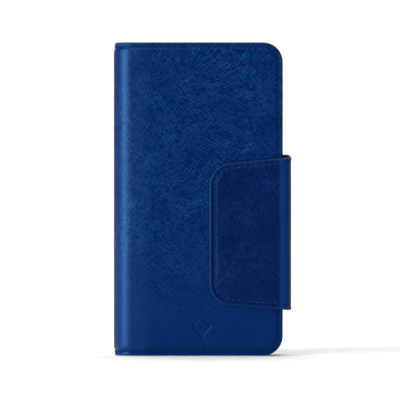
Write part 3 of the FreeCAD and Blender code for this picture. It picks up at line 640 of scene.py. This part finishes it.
def hem_depth(d, x, panel, spine=SP_HEM):
    """Depth of a point of the section, where the hem's depth changes from the spine's to the panel's."""
    hd = spine + (panel - spine) * smoothstep(x, CX + 0.3, CX + 2.6)
    return np.where(d > 1.0, 1.0 + (d - 1.0) * (hd - 1.0) / (2.7 - 1.0), d)


# ------------------------------------------------------------------ front cover skin
MARK_X, MARK_Z, MARK_A, MARK_B = -0.2, 14.3, 4.2, 5.2
ZS_PANEL = refined(CR, H - CR, 0.75, 0.27, CR + 0.01, 21.0)
ZS_PLAIN = steps(CR, H - CR, 0.75)


def undulation(x, z):
    return 0.030 * smooth_noise(x, z, 17, 0) + 0.018 * smooth_noise(x, z, 7, 1) + 0.006 * smooth_noise(x, z, 2.4, 2)


def lozenge_depth(x, z):
    """A pressed lozenge outline."""
    q = np.abs(x - MARK_X) / MARK_A + np.abs(z - MARK_Z) / MARK_B
    dist = (q - 1.0) * (MARK_A * MARK_B) / math.hypot(MARK_A, MARK_B)
    line = np.exp(-(dist / 0.38) ** 2)
    field = 0.12 * smoothstep(-dist, -0.2, 0.6)
    return 0.34 * line + field


xs = refined(CX, XR - CR, 0.75, 0.27, -6.0, 5.6)
g = sheet_grid(xs, XR, 0.0, H, CR, PROF_COVER, ZS_PANEL)
fade = smoothstep(g["x"], CX, CX + 10) * smoothstep(g["edge"], 3.0, 7.0)
crown = -0.07 * smoothstep(g["x"], CX, CX + 22) * smoothstep(g["z"], 3, 25) * smoothstep(H - g["z"], 3, 25) * smoothstep(XR - g["x"], 3, 22)
d = hem_depth(g["d"], g["x"], F_HEM) + (crown + undulation(g["x"], g["z"]) * 1.0 + lozenge_depth(g["x"], g["z"])) * np.where(g["edge"] > 3.0, fade, 0)
sp, sd, step_c, n_c = seam_places(g, CX, XR, 0, H, CR, 2.0, 2.88)
U0 = math.pi * R
uv = np.stack([U0 + g["u"] - CX, g["v"]], -1).reshape(-1, 2)
co = np.stack([g["x"], YF + d, g["z"]], -1).reshape(-1, 3)
front = make("front_cover_skin", co, grid_faces(*g["x"].shape), [M_COVER], uv, np.stack([sp, sd], -1).reshape(-1, 2),
             out=(0, -1, 0), probe=(g["x"].shape[0] // 3) * (g["x"].shape[1] - 1) + g["x"].shape[1] // 2, solid=0.35)
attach(front, "front_cover")
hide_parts("front_skin")

centres, step_c = seam_centres(CX, XR, 0, H, CR, 2.0, 2.88)
places = [((x, YF + 0.36, z), (tx, 0, tz), (0, -1, 0)) for x, z, tx, tz in centres]
ft = thread("front_cover_seam", places, step_c * 0.80, M_THREAD)
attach(ft, "front_cover")
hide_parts("front_seam_thread")

# ------------------------------------------------------------------ back cover skin, with the camera window
wb_x0, wb_x1, wb_z0, wb_z1, wb_r = 2.0, 27.0, 127.5, 139.5, 5.9
WCX0, WCX1, WCZ = wb_x0 + wb_r, wb_x1 - wb_r, (wb_z0 + wb_z1) / 2


def window_patch(g, depth, tail, margin, base_d):
    """Cuts a rounded slot into a sheet grid. Returns the loop of grid points round the slot, the rows of points from
    the loop in to the slot with their depths, and the mask of quads left out.
    """
    x, z = g["x"], g["z"]
    ni, nj = x.shape
    inside_col = (x[:, nj // 2] > wb_x0 - margin) & (x[:, nj // 2] < wb_x1 + margin)
    inside_row = (z[0, :] > wb_z0 - margin) & (z[0, :] < wb_z1 + margin)
    ci, cj = np.where(inside_col)[0], np.where(inside_row)[0]
    i0, i1, j0, j1 = ci[0], ci[-1], cj[0], cj[-1]
    skip = np.zeros((ni - 1, nj - 1), bool)
    skip[i0:i1, j0:j1] = True
    loop = ([(i, j0) for i in range(i0, i1)] + [(i1, j) for j in range(j0, j1)] +
            [(i, j1) for i in range(i1, i0, -1)] + [(i0, j) for j in range(j1, j0, -1)])
    P = np.array([(x[a], z[a]) for a in loop])
    cx = np.clip(P[:, 0], WCX0, WCX1)
    c = np.stack([cx, np.full(len(P), WCZ)], -1)
    # points on the slot's outline straight towards each loop point from the slot's middle line
    nrm = P - c
    dist = np.linalg.norm(nrm, axis=1)
    nrm = nrm / dist[:, None]
    start = tail[0][0]
    rows = []
    nb = 5
    for t in np.linspace(0, 1, nb + 1)[1:]:
        s = (1 - t) * (dist - wb_r) + t * start
        rows.append((c + nrm * (wb_r + s)[:, None], np.full(len(P), tail[0][1])))
    for s, dd in tail[1:]:
        rows.append((c + nrm * (wb_r + s), np.full(len(P), dd)))
    return loop, rows, skip


def windowed(name, g, d, y_of, uv_of, mats, tail, margin, seam, out, solid, body):
    ni, nj = g["x"].shape
    loop, rows, skip = window_patch(g, d, tail, margin, 0)
    co = np.stack([g["x"], y_of(d), g["z"]], -1).reshape(-1, 3)
    uvs = uv_of(g["u"], g["v"]).reshape(-1, 2)
    sm = None if seam is None else seam.reshape(-1, 2)
    faces = [tuple(f) for f in grid_faces(ni, nj, skip)]
    prev = [a[0] * nj + a[1] for a in loop]
    base_d = np.array([d[a] for a in loop])
    extra, euv = [], []
    count = len(co)
    n = len(loop)
    for r_i, (pts, dd) in enumerate(rows):
        w = 1.0 if r_i >= 4 else (r_i + 1) / 5.0
        dep = base_d * (1 - w) + (dd if r_i >= 4 else rows[4][1]) * w
        if r_i > 4:
            dep = dd
        extra.append(np.stack([pts[:, 0], y_of(dep), pts[:, 1]], -1))
        euv.append(uv_of(pts[:, 0], pts[:, 1] + dep * 0.3))
        cur = [count + i for i in range(n)]
        for i in range(n):
            k = (i + 1) % n
            faces.append((prev[i], cur[i], cur[k], prev[k]))
        prev = cur
        count += n
    co = np.concatenate([co] + extra)
    uvs = np.concatenate([uvs] + euv)
    if sm is not None:
        sm = np.concatenate([sm, np.full((count - len(sm), 2), (0.0, 60.0))])
    # the patch must wind the same way as the grid
    nf = len(faces) - n * len(rows)
    probe_g = next(i for i in range(nf // 2, nf) if abs(np.cross(co[faces[i][1]] - co[faces[i][0]], co[faces[i][2]] - co[faces[i][0]])[1]) > 1e-3)
    gg = np.cross(co[faces[probe_g][1]] - co[faces[probe_g][0]], co[faces[probe_g][2]] - co[faces[probe_g][0]])[1]
    pp = np.cross(co[faces[nf][1]] - co[faces[nf][0]], co[faces[nf][2]] - co[faces[nf][0]])[1]
    if gg * pp < 0:
        faces = faces[:nf] + [f[::-1] for f in faces[nf:]]
    return make(name, co, faces, mats, uvs, sm, out=out, probe=probe_g, solid=solid)


xs = steps(CX, XR - CR, 0.75)
g = sheet_grid(xs, XR, 0.0, H, CR, PROF_COVER, ZS_PANEL)
fade = smoothstep(g["x"], CX, CX + 10) * smoothstep(g["edge"], 3.0, 7.0)
near = 1 - smoothstep(np.hypot(np.clip(WCX0 - g["x"], 0, None) + np.clip(g["x"] - WCX1, 0, None), g["z"] - WCZ), 8, 14)
d = hem_depth(g["d"], g["x"], B_HEM) + undulation(g["x"] + 40, g["z"] + 13) * np.where(g["edge"] > 3.0, fade, 0) * (1 - near)
sp, sd, step_c, n_c = seam_places(g, CX, XR, 0, H, CR, 2.0, 2.88)
back_tail = [(2.6, -0.10), (2.1, -0.06), (1.7, -0.01), (1.35, 0.02), (1.1, 0.0), (0.85, -0.04), (0.6, -0.02), (0.4, 0.06), (0.22, 0.20), (0.09, 0.40), (0.02, 0.62), (0.0, 0.9), (0.0, 1.4), (0.0, 1.9), (0.0, 2.15), (0.15, 2.3)]
back = windowed("back_cover_skin", g, d, lambda q: YB - q, lambda a, b: np.stack([-(a - CX), b], -1), [M_COVER], back_tail, 3.6,
                np.stack([sp, sd], -1), (0, 1, 0), 0.35, "back_cover")
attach(back, "back_cover")
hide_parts("back_skin")
places = [((x, YB - 0.36, z), (tx, 0, tz), (0, 1, 0)) for x, z, tx, tz in centres]
bt = thread("back_cover_seam", places, step_c * 0.80, M_THREAD)
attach(bt, "back_cover")
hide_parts("back_seam_thread")

# ------------------------------------------------------------------ linings of the covers


def lining_depth(e, x, panel):
    dl = SP_LIN + (panel - SP_LIN) * smoothstep(x, CX + 0.2, CX + 2.2)
    th = np.where(e > 0, e / 0.5, 0) * (dl - (SP_HEM + (panel - 0.5 - SP_HEM) * smoothstep(x, CX + 0.2, CX + 2.2)))
    return dl - th


ZS_LIN = steps(CR, H - CR, 1.5)
g = sheet_grid(refined(CX, XR - CR, 1.5, 0.3, CX + 0.01, CX + 3.0), XR, 0.0, H, CR, PROF_LINING, ZS_LIN)
d = lining_depth(g["d"], g["x"], F_LIN)
uv = np.stack([U0 + g["u"] - CX, g["v"]], -1).reshape(-1, 2)
fl = make("front_cover_lining", np.stack([g["x"], YF + d, g["z"]], -1).reshape(-1, 3), grid_faces(*g["x"].shape), [M_LINING], uv,
          out=(0, 1, 0), probe=(g["x"].shape[0] // 3) * (g["x"].shape[1] - 1) + g["x"].shape[1] // 2, solid=0.3)
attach(fl, "front_cover")
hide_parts("front_lining")

d = lining_depth(g["d"], g["x"], B_LIN)
lin_tail = [(2.2, B_LIN), (1.6, B_LIN), (1.35, B_LIN - 0.1), (1.25, B_LIN - 0.3), (1.2, B_LIN - 0.45)]
bl = windowed("back_cover_lining", g, d, lambda q: YB - q, lambda a, b: np.stack([-(a - CX), b], -1), [M_LINING], lin_tail, 4.5, None, (0, -1, 0), 0.3, "back_cover")
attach(bl, "back_cover")
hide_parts("back_lining")

# ------------------------------------------------------------------ spine
PIECES = [("back_cover", "spine_back", 0.0, 60.0), ("spine_back", "spine_front", 60.0, 120.0),
          ("spine_front", "front_cover", 120.0, 180.0)]
ps, pd, pa = PROF_COVER
ls_, ld_, la_ = PROF_LINING


def spine_rows(prof, zs):
    s, dd, a = prof
    K = len(s)
    z = np.concatenate([s[:0:-1], zs, H - s[1:]])
    dep = np.concatenate([dd[:0:-1], np.full(len(zs), dd[0]), dd[1:]])
    v = np.concatenate([CR - a[:0:-1], zs, H - CR + a[1:]])
    edge = np.concatenate([s[:0:-1], np.full(len(zs), 99.0), s[1:]])
    side = np.concatenate([-np.ones(K - 1), np.zeros(len(zs)), np.ones(K - 1)])
    return z, dep, v, edge, side


z_o, d_o, v_o, e_o, s_o = spine_rows(PROF_COVER, ZS_PANEL)
z_l, d_l, v_l, e_l, s_l = spine_rows(PROF_LINING, ZS_LIN)
d_os = np.where(d_o > 1.0, 1.0 + (d_o - 1.0) * (SP_HEM - 1.0) / 1.7, d_o)
SPN = 9                                          # stitches over the spine at each end
spine_step = (math.pi * (R - 0.3)) / SPN
for n, (a, b, t0, t1) in enumerate(PIECES):
    th = np.radians(np.linspace(t0, t1, 61))
    TH, Z = np.meshgrid(th, z_o, indexing="ij")
    D = np.meshgrid(th, d_os, indexing="ij")[1]
    V = np.meshgrid(th, v_o, indexing="ij")[1]
    E = np.meshgrid(th, e_o, indexing="ij")[1]
    rough = undulation(R * TH + 300, Z) * smoothstep(E, 3.0, 7.0) * np.sin(TH) * 0.8
    rad = R - D - rough
    co = np.stack([CX - rad * np.sin(TH), CY + rad * np.cos(TH), Z], -1).reshape(-1, 3)
    uv = np.stack([R * TH, V], -1).reshape(-1, 2)
    seam = np.stack([(R - 0.3) * TH / spine_step, E - 2.0], -1).reshape(-1, 2)
    tm = math.radians((t0 + t1) / 2)
    out = (-math.sin(tm), math.cos(tm), 0)
    sk = make("spine_skin_bend_%d" % (n + 1), co, grid_faces(*TH.shape), [M_COVER], uv, seam, out=out,
              probe=(TH.shape[0] // 2) * (TH.shape[1] - 1) + TH.shape[1] // 2, solid=0.35)
    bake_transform(sk)
    # lining
    th = np.radians(np.linspace(t0, t1, 31))
    TH, Z = np.meshgrid(th, z_l, indexing="ij")
    D = np.meshgrid(th, d_l, indexing="ij")[1]
    V = np.meshgrid(th, v_l, indexing="ij")[1]
    dep = SP_LIN - np.where(D > 0, D / 0.5, 0) * (SP_LIN - SP_HEM)
    rad = R - dep
    co = np.stack([CX - rad * np.sin(TH), CY + rad * np.cos(TH), Z], -1).reshape(-1, 3)
    uv = np.stack([R * TH, V], -1).reshape(-1, 2)
    ln = make("spine_lining_bend_%d" % (n + 1), co, grid_faces(*TH.shape), [M_LINING], uv, out=(math.sin(tm), -math.cos(tm), 0),
              probe=(TH.shape[0] // 2) * (TH.shape[1] - 1) + TH.shape[1] // 2, solid=0.3)
    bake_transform(ln)
    # stitches of this stretch, top and bottom
    pl = []
    for i in range(SPN):
        deg = math.degrees((i + 0.5) * spine_step / (R - 0.3))
        if t0 <= deg < t1:
            q = math.radians(deg)
            rr = R - 0.36
            for zz in (H - 2.0, 2.0):
                pl.append(((CX - rr * math.sin(q), CY + rr * math.cos(q), zz), (-math.cos(q), -math.sin(q), 0), (-math.sin(q), math.cos(q), 0)))
    st = thread("spine_seam_bend_%d" % (n + 1), pl, spine_step * 0.76, M_THREAD)
    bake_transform(st)
    if n == 0:
        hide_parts("spine_skin_back")
        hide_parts("spine_lining_back")
    elif n == 2:
        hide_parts("spine_skin_front")
        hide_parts("spine_lining_front")

# ------------------------------------------------------------------ closing flap
W1 = CFX - TIP                                   # flat tongue up to here
W2 = W1 + OUT_F * math.pi / 2                    # start of the side
LS = CBY - CFY
W3 = W2 + LS
W4 = W3 + OUT_B * math.pi / 2                    # end of the back bend
W5 = W4 + (CBX - (XR - 6.6))


def flap_path(w, d):
    """Outer surface at path length w from the tip, d mm inside it."""
    w, d = np.asarray(w, float), np.asarray(d, float)
    x = TIP + w
    y = YT + d
    a = (w - W1) / OUT_F
    x = np.where(w > W1, CFX + (OUT_F - d) * np.sin(a), x)
    y = np.where(w > W1, CFY - (OUT_F - d) * np.cos(a), y)
    x = np.where(w > W2, XF - d, x)
    y = np.where(w > W2, CFY + (w - W2), y)
    b = (w - W3) / OUT_B
    x = np.where(w > W3, CBX + (OUT_B - d) * np.cos(b), x)
    y = np.where(w > W3, CBY + (OUT_B - d) * np.sin(b), y)
    x = np.where(w > W4, CBX - (w - W4), x)
    y = np.where(w > W4, CBY + OUT_B - d, y)
    return x, y


def flap_top(w):
    x, y = flap_path(w, np.zeros_like(np.asarray(w, float)))
    z = FLAP_ZHI - TT * np.where(np.asarray(w) < W2, XF - x, 0)
    return z + 1.5 * np.clip((y - (CFY - 3.0)) / (YB - (CFY - 3.0)), 0, 1)


def flap_bottom(w):
    x, y = flap_path(w, np.zeros_like(np.asarray(w, float)))
    z = FLAP_ZLO + TB * np.where(np.asarray(w) < W2, XF - x, 0)
    return z - 0.3 * np.clip((y - (CFY - 3.0)) / (YB - (CFY - 3.0)), 0, 1)


def flap_grid(prof, ws, nz, tip):
    """Strap grid. ws are the columns from TR on (or from the split on), nz rows between the edge zones."""
    s_, d_, a_ = prof
    K = len(s_)
    r = TR
    kx = np.concatenate([np.arange(K - 1, 0, -1) if tip else np.zeros(0, int), np.zeros(len(ws), int)])
    W = np.concatenate([np.full(K - 1 if tip else 0, r), ws])
    kz = np.concatenate([np.arange(K - 1, 0, -1), np.zeros(nz, int), np.arange(1, K)])
    side = np.concatenate([-np.ones(K - 1), np.zeros(nz), np.ones(K - 1)])
    f = np.concatenate([np.zeros(K - 1), np.linspace(0, 1, nz), np.ones(K - 1)])
    KX, KZ = np.meshgrid(kx, kz, indexing="ij")
    WW, FF = np.meshgrid(W, f, indexing="ij")
    SS = np.meshgrid(kx, side, indexing="ij")[1]
    k = np.maximum(KX, KZ)
    ax, az = a_[KX], a_[KZ]
    big, small = np.maximum(ax, az), np.minimum(ax, az)
    t = np.where(big > 0, small / np.maximum(big, 1e-9), 0.0)
    corner = (KX > 0) & (KZ > 0)
    phi = np.where(KX >= KZ, math.pi / 4 * t, math.pi / 2 - math.pi / 4 * t)
    phi = np.where(corner, phi, np.where(KX > 0, 0.0, math.pi / 2))
    rad = r - s_[k]
    w = np.where(KX > 0, WW - rad * np.cos(phi), WW)
    # edge lines carried on in a straight line before the corner zone's inner border
    zt, zb = flap_top(np.maximum(w, r)), flap_bottom(np.maximum(w, r))
    zt = zt - TT * np.clip(r - w, 0, None)
    zb = zb + TB * np.clip(r - w, 0, None)
    drop = r - np.where(KZ > 0, rad * np.sin(phi), 0)
    z_hi, z_lo = zt - drop, zb + drop
    z = np.where(SS > 0, z_hi, np.where(SS < 0, z_lo, (zb + r) * (1 - FF) + (zt - r) * FF))
    d = d_[k]
    u = np.where(KX > 0, WW - a_[k] * np.cos(phi), WW)
    v = z + np.where(KZ > 0, SS * (a_[k] - (r - s_[k])) * np.sin(phi), 0)
    edge = np.where(k > 0, s_[k], 99.0)
    return {"w": w, "z": z, "d": d, "u": u, "v": v, "k": k, "phi": phi, "side": SS, "edge": edge, "kx": KX, "kz": KZ}


FLAP_TAIL = [(4.6, 0.10), (4.1, 0.14), (3.7, 0.20), (3.4, 0.28), (3.15, 0.37), (2.95, 0.43), (2.75, 0.47), (2.55, 0.48), (2.35, 0.46), (2.15, 0.40), (1.95, 0.33), (1.75, 0.27),
             (1.5, 0.22), (1.3, 0.17), (1.12, 0.10), (0.98, 0.04), (0.84, 0.00), (0.68, -0.01), (0.52, 0.03), (0.37, 0.12), (0.24, 0.25), (0.12, 0.43), (0.04, 0.62),
             (0.0, 0.80), (0.0, 1.0), (0.02, 1.2), (0.09, 1.36), (0.22, 1.46), (0.42, 1.5), (0.8, 1.5), (1.6, 1.5)]
PROF_FLAP = full_profile(TR, 0.06, FLAP_TAIL)
FLIN_TAIL = [(3.0, 0.0), (1.6, 0.0), (1.0, 0.0), (0.75, 0.03), (0.56, 0.09), (0.44, 0.18), (0.36, 0.30), (0.33, 0.42), (0.32, 0.5)]
PROF_FLIN = full_profile(TR, 0.0, FLIN_TAIL, 1.4)


def flap_hem(d, w):
    hd = 1.5 - 0.8 * smoothstep(w, W1 - 1.6, W1 + 1.2)
    return np.where(d > 0.6, 0.6 + (d - 0.6) * (hd - 0.6) / 0.9, d)


WM = (W2 + W3) / 2
FI = 2.6


def flap_seam_places(g):
    """Seam coordinate along the flap's edge, from the lower end round the tip to the upper end."""
    r, q = TR, TR - FI
    l1 = W2 - r
    l2 = q * math.pi / 2
    l3 = float(flap_top(np.array(r)) - flap_bottom(np.array(r))) - 2 * r
    total = 2 * l1 + 2 * l2 + l3
    n = round(total / 2.88)
    step = total / n
    p = np.where(g["side"] == 0, l1 + l2 + (g["z"] - float(flap_bottom(np.array(r))) - r), 0)
    p = np.where((g["side"] < 0) & (g["kx"] == 0), l1 - (g["w"] - r), p)
    p = np.where((g["side"] < 0) & (g["kx"] > 0), l1 + (math.pi / 2 - g["phi"]) * q, p)
    p = np.where((g["side"] > 0) & (g["kx"] > 0), l1 + l2 + l3 + g["phi"] * q, p)
    p = np.where((g["side"] > 0) & (g["kx"] == 0), l1 + 2 * l2 + l3 + (g["w"] - r), p)
    return p / step, g["edge"] - FI, step, n, (l1, l2, l3, total)


def flap_sheet(name, prof, ws, nz, tip, mats, depth, out, solid):
    g = flap_grid(prof, ws, nz, tip)
    sp_, sd_, step, n, _ = flap_seam_places(g)
    d = depth(g)
    x, y = flap_path(g["w"], d)
    co = np.stack([x, y, g["z"]], -1).reshape(-1, 3)
    uv = np.stack([g["u"] + 200, g["v"]], -1).reshape(-1, 2)
    sd_ = np.where(g["w"] > W1 + 2.0, 60.0, sd_)
    return make(name, co, grid_faces(*g["w"].shape), mats, uv, np.stack([sp_, sd_], -1).reshape(-1, 2), out=out,
                probe=(g["w"].shape[0] * 2 // 3) * (g["w"].shape[1] - 1) + g["w"].shape[1] // 2, solid=solid)


def flap_outer_depth(g):
    w = g["w"]
    soft = 0.05 * smooth_noise(w + 9, g["z"], 13, 1) + 0.03 * smooth_noise(w, g["z"], 5, 2)
    crease = 0.10 * np.exp(-((w - (W1 - 1.3)) / 0.9) ** 2)      # slight dip where the stiff tongue ends
    # the hem flattens out where the strap bends
    flat = 1.0 - 0.92 * smoothstep(w, W1 - 2.5, W1 + 0.5)
    d = np.where(g["edge"] > 0.6, g["d"] * flat, g["d"])
    return flap_hem(d, w) + (soft * (0.3 + 0.7 * flat) + crease) * smoothstep(g["edge"], 2.9, 6.0)


ws_b = np.concatenate([steps(TR, W1 - 2.0, 0.8)[:-1], steps(W1 - 2.0, WM, 0.28)])
ws_a = np.concatenate([steps(WM, W4, 0.28)[:-1], steps(W4, W5, 0.8)])
NZ = 70
tongue = flap_sheet("flap_tongue_skin_bend", PROF_FLAP, ws_b, NZ, True, [M_FLAP], flap_outer_depth, (1, -1, 0), 0.3)
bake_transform(tongue)
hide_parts("flap_tongue_skin", "flap_side_skin")
side_a = flap_sheet("flap_root_skin_bend", PROF_FLAP, ws_a, NZ, False, [M_FLAP], flap_outer_depth, (1, 1, 0), 0.3)
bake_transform(side_a)
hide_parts("flap_root_skin")


def flap_inner_depth(g):
    w = g["w"]
    th = 2.0 - 0.8 * smoothstep(w, W1 - 1.6, W1 + 0.6)
    return th - g["d"] / 0.5 * 0.5


ws_bl = np.concatenate([steps(TR, W1 - 2.0, 1.6)[:-1], steps(W1 - 2.0, WM, 0.4)])
ws_al = np.concatenate([steps(WM, W4, 0.4)[:-1], steps(W4, W5, 1.6)])
tl = flap_sheet("flap_tongue_lining_bend", PROF_FLIN, ws_bl, 40, True, [M_LINING], flap_inner_depth, (-1, 1, 0), 0.25)
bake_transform(tl)
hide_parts("flap_tongue_lining", "flap_side_lining")
rl = flap_sheet("flap_root_lining_bend", PROF_FLIN, ws_al, 40, False, [M_LINING], flap_inner_depth, (-1, -1, 0), 0.25)
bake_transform(rl)
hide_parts("flap_root_lining")

# stitches of the flap
gdummy = flap_grid(PROF_FLAP, np.array([TR, W1]), 2, True)
_, _, fstep, fn, (fl1, fl2, fl3, ftotal) = flap_seam_places(gdummy)
fplaces = []
q = TR - FI
zt_c, zb_c = float(flap_top(np.array(TR))) - TR, float(flap_bottom(np.array(TR))) + TR
for i in range(fn):
    s = (i + 0.5) * fstep
    if s < fl1:
        w = TR + (fl1 - s)
        z, tw, tz = float(flap_bottom(np.array(w))) + FI, -1.0, TB
    elif s < fl1 + fl2:
        a = (s - fl1) / q
        w = TR - q * math.sin(a)
        z = zb_c - q * math.cos(a) + TB * (TR - w)
        tw, tz = -math.cos(a), math.sin(a) + TB * math.cos(a)
    elif s < fl1 + fl2 + fl3:
        w, z, tw, tz = FI, zb_c + (s - fl1 - fl2), 0.0, 1.0
        fz = (z - zb_c) / fl3
        z += TB * (TR - w) * (1 - fz) - TT * (TR - w) * fz
    elif s < fl1 + 2 * fl2 + fl3:
        a = (s - fl1 - fl2 - fl3) / q
        w = TR - q * math.cos(a)
        z = zt_c + q * math.sin(a) - TT * (TR - w)
        tw, tz = math.sin(a), math.cos(a) + TT * math.sin(a)
    else:
        w = TR + (s - fl1 - 2 * fl2 - fl3)
        z, tw, tz = float(flap_top(np.array(w))) - FI, 1.0, TT
    if w > W1 + 1.2:
        continue
    x, y = flap_path(w, 0.30)
    n_ = math.hypot(tw, tz)
    fplaces.append(((float(x), float(y), z), (tw / n_, 0, tz / n_), (0, -1, 0)))
fth = thread("flap_seam", fplaces, fstep * 0.78, M_THREAD_FLAP, strand=0.145)
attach(fth, "flap_tongue")
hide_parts("flap_seam_thread")

# ------------------------------------------------------------------ pockets in the front cover
LEFT = [(0.0, 0.0), (0.22, 0.01), (0.42, 0.05), (0.58, 0.13), (0.68, 0.25), (0.70, 0.36), (0.66, 0.47), (0.54, 0.54), (0.3, 0.57), (-1.2, 0.57)]


def pocket(name, node, rc, layer, notch, prof_tail, seam_in, puff):
    lo, hi = box(node)
    y1 = YI + (layer + 1) * LAYER
    prof = full_profile(rc, 0.0, prof_tail, 1.0)
    lx = np.array(LEFT)
    la = np.concatenate([[0], np.cumsum(np.hypot(np.diff(lx[:, 0]), np.diff(lx[:, 1])))])
    zc, zh = (lo.z + hi.z) / 2, 14.5
    xs = np.concatenate([steps(0.7, 8.0, 0.45)[:-1], steps(8.0, (hi.x - rc) - lo.x, 1.1)]) + lo.x
    zs = refined(lo.z + rc, hi.z - rc, 1.2, 0.55, zc - 16, zc + 16)
    g = sheet_grid(xs, hi.x, lo.z, hi.z, rc, prof, zs, left=(lx[:, 0], lx[:, 1], la))
    x, z, d = g["x"], g["z"], g["d"].copy()
    if notch:
        t = np.clip(np.abs(z - zc) / zh, 0, 1)
        push = 5.0 * np.cos(t * math.pi / 2) ** 2 * (1 - smoothstep(x - lo.x, 1.0, 14.0))
        x = x + push
    inner = smoothstep(x - lo.x, 0, 6) * smoothstep(g["edge"], seam_in + 0.8, seam_in + 6)
    d = d - puff * inner - 0.02 * smooth_noise(x, z, 9, layer % 3) * inner
    co = np.stack([x, y1 - d, z], -1).reshape(-1, 3)
    uv = np.stack([g["u"] + 40 * layer, g["v"]], -1).reshape(-1, 2)
    ob = make(name, co, grid_faces(*x.shape), [M_POCKET], uv, out=(0, 1, 0),
              probe=(x.shape[0] // 2) * (x.shape[1] - 1) + x.shape[1] // 2, solid=0.2)
    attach(ob, "front_cover")
    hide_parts(node)
    return lo, hi, y1


POCKET_TAIL = [(2.6, 0.0), (2.2, 0.02), (1.9, 0.08), (1.6, 0.15), (1.35, 0.20), (1.15, 0.21), (0.95, 0.18), (0.75, 0.13), (0.55, 0.10), (0.38, 0.12), (0.22, 0.18), (0.10, 0.29), (0.02, 0.42), (0.0, 0.56)]
CASH_TAIL = [(3.0, 0.0), (1.5, 0.0), (0.8, 0.02), (0.5, 0.06), (0.28, 0.13), (0.12, 0.25), (0.03, 0.40), (0.0, 0.56)]
pocket("note_pocket_sheet", "cash_pocket", 8.1, 0, False, CASH_TAIL, 1.2, 0.0)
cards = [pocket("card_pocket_sheet_%d" % (i + 1), "card_pocket_%d" % (i + 1), 3.0, i + 1, True, POCKET_TAIL, 1.2, 0.03) for i in range(3)]
pp = []
for i, (lo, hi, y1) in enumerate(cards):
    x_end = cards[i + 1][0].x - 1.2 if i < 2 else None
    if i < 2:
        n = int((x_end - (lo.x + 1.4)) / 2.7)
        for k in range(n):
            xx = lo.x + 1.4 + (k + 0.5) * (x_end - lo.x - 1.4) / n
            for zz in (hi.z - 1.2, lo.z + 1.2):
                pp.append(((xx, y1 - 0.12, zz), (1, 0, 0), (0, 1, 0)))
    else:
        cs, st_ = seam_centres(lo.x + 1.4, hi.x, lo.z, hi.z, 3.0, 1.2, 2.7)
        for xx, zz, tx, tz in cs:
            pp.append(((xx, y1 - 0.12, zz), (tx, 0, tz), (0, 1, 0)))
pt = thread("pocket_seam", pp, 2.05, M_THREAD, strand=0.11, rise=0.10, sink=0.25, spread=0.10)
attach(pt, "front_cover")
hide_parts("pocket_seam_thread")

# ------------------------------------------------------------------ CAD pieces that stay
for n, mt in {"phone_tray": M_TRAY, "tray_adhesive_sheet": M_FILM, "front_board": M_BOARD, "back_board": M_BOARD, "flap_board": M_BOARD,
              "front_foam": M_FOAM, "closing_plates": M_STEEL, "flap_magnets": M_MAGNET}.items():
    ob = nodes[n]
    ob.data.materials.clear()
    ob.data.materials.append(mt)

# ------------------------------------------------------------------ stage, light, camera
floor_z = 0.0


def stage_mat():
    m = Mat("studio_white")
    v = m.obj()
    f = m.noise(v, 3.0, 2.0)
    m.set(Base_Color=m.mix(m.ramp(f, 0.3, 0.7), rgb(0.90, 0.90, 0.90), rgb(0.92, 0.92, 0.92)), Roughness=0.9)
    m.b.inputs["Specular IOR Level"].default_value = 0.0
    return m.m


def backdrop():
    """Floor that curves up into a back wall."""
    prof = [(-2.6, 0.0), (1.2, 0.0)]
    for i in range(1, 17):
        a = math.pi / 2 * i / 16
        prof.append((1.2 + 0.9 * math.sin(a), 0.9 - 0.9 * math.cos(a)))
    prof.append((2.1, 3.4))
    co, faces = [], []
    for y, z in prof:
        co += [(-3.2, y, z), (3.2, y, z)]
    for i in range(len(prof) - 1):
        faces.append((2 * i, 2 * i + 1, 2 * i + 3, 2 * i + 2))
    me = bpy.data.meshes.new("studio_floor")
    me.from_pydata(co, [], faces)
    me.materials.append(stage_mat())
    for p in me.polygons:
        p.use_smooth = True
    ob = bpy.data.objects.new("studio_floor", me)
    bpy.context.scene.collection.objects.link(ob)
    return ob


backdrop()

world = bpy.data.worlds.new("studio")
bpy.context.scene.world = world
world.use_nodes = True
bg = world.node_tree.nodes["Background"]
bg.inputs["Color"].default_value = (1, 1, 1, 1)
bg.inputs["Strength"].default_value = 0.03


def area(name, loc, aim, size, power, color=(1, 1, 1), size_y=None):
    L = bpy.data.lights.new(name, "AREA")
    L.energy = power
    L.color = color
    L.size = size
    if size_y:
        L.shape = "RECTANGLE"
        L.size_y = size_y
    ob = bpy.data.objects.new(name, L)
    ob.location = loc
    ob.rotation_mode = "QUATERNION"
    ob.rotation_quaternion = (Vector(aim) - Vector(loc)).to_track_quat("-Z", "Y")
    bpy.context.scene.collection.objects.link(ob)
    return ob


area("top_soft", (0.0, 0.62, 1.65), (0, 0.45, 0.0), 1.6, 19)
area("left_strip", (-1.06, -0.80, 0.30), (0, 0, 0.08), 0.24, 22, size_y=0.9)
area("top_front", (-0.1, -0.85, 1.25), (0, 0, 0.08), 1.0, 6.5, size_y=0.16)
area("wall_wash", (0.0, 0.75, 1.9), (0, 2.1, 0.45), 2.0, 18)

scene = bpy.context.scene
scene.view_settings.view_transform = "Standard"
scene.view_settings.look = "None"
scene.view_settings.exposure = 0.0
scene.view_settings.gamma = 1.0

cam_d = bpy.data.cameras.new("camera")
cam = bpy.data.objects.new("camera", cam_d)
scene.collection.objects.link(cam)
scene.camera = cam
MM_PER_PX = 0.4845
DIST = 1.80
cam_d.sensor_width = 36.0
cam_d.lens = 36.0 * DIST / (400 * MM_PER_PX / 1000.0)
cam.location = ((XL + (200 - 113.6) * 0.4845) / 1000.0, YF / 1000.0 - DIST, (355.9 - 200) * MM_PER_PX / 1000.0)
cam.rotation_euler = (math.radians(90), 0, 0)
cam_d.clip_start = 0.01
cam_d.clip_end = 50
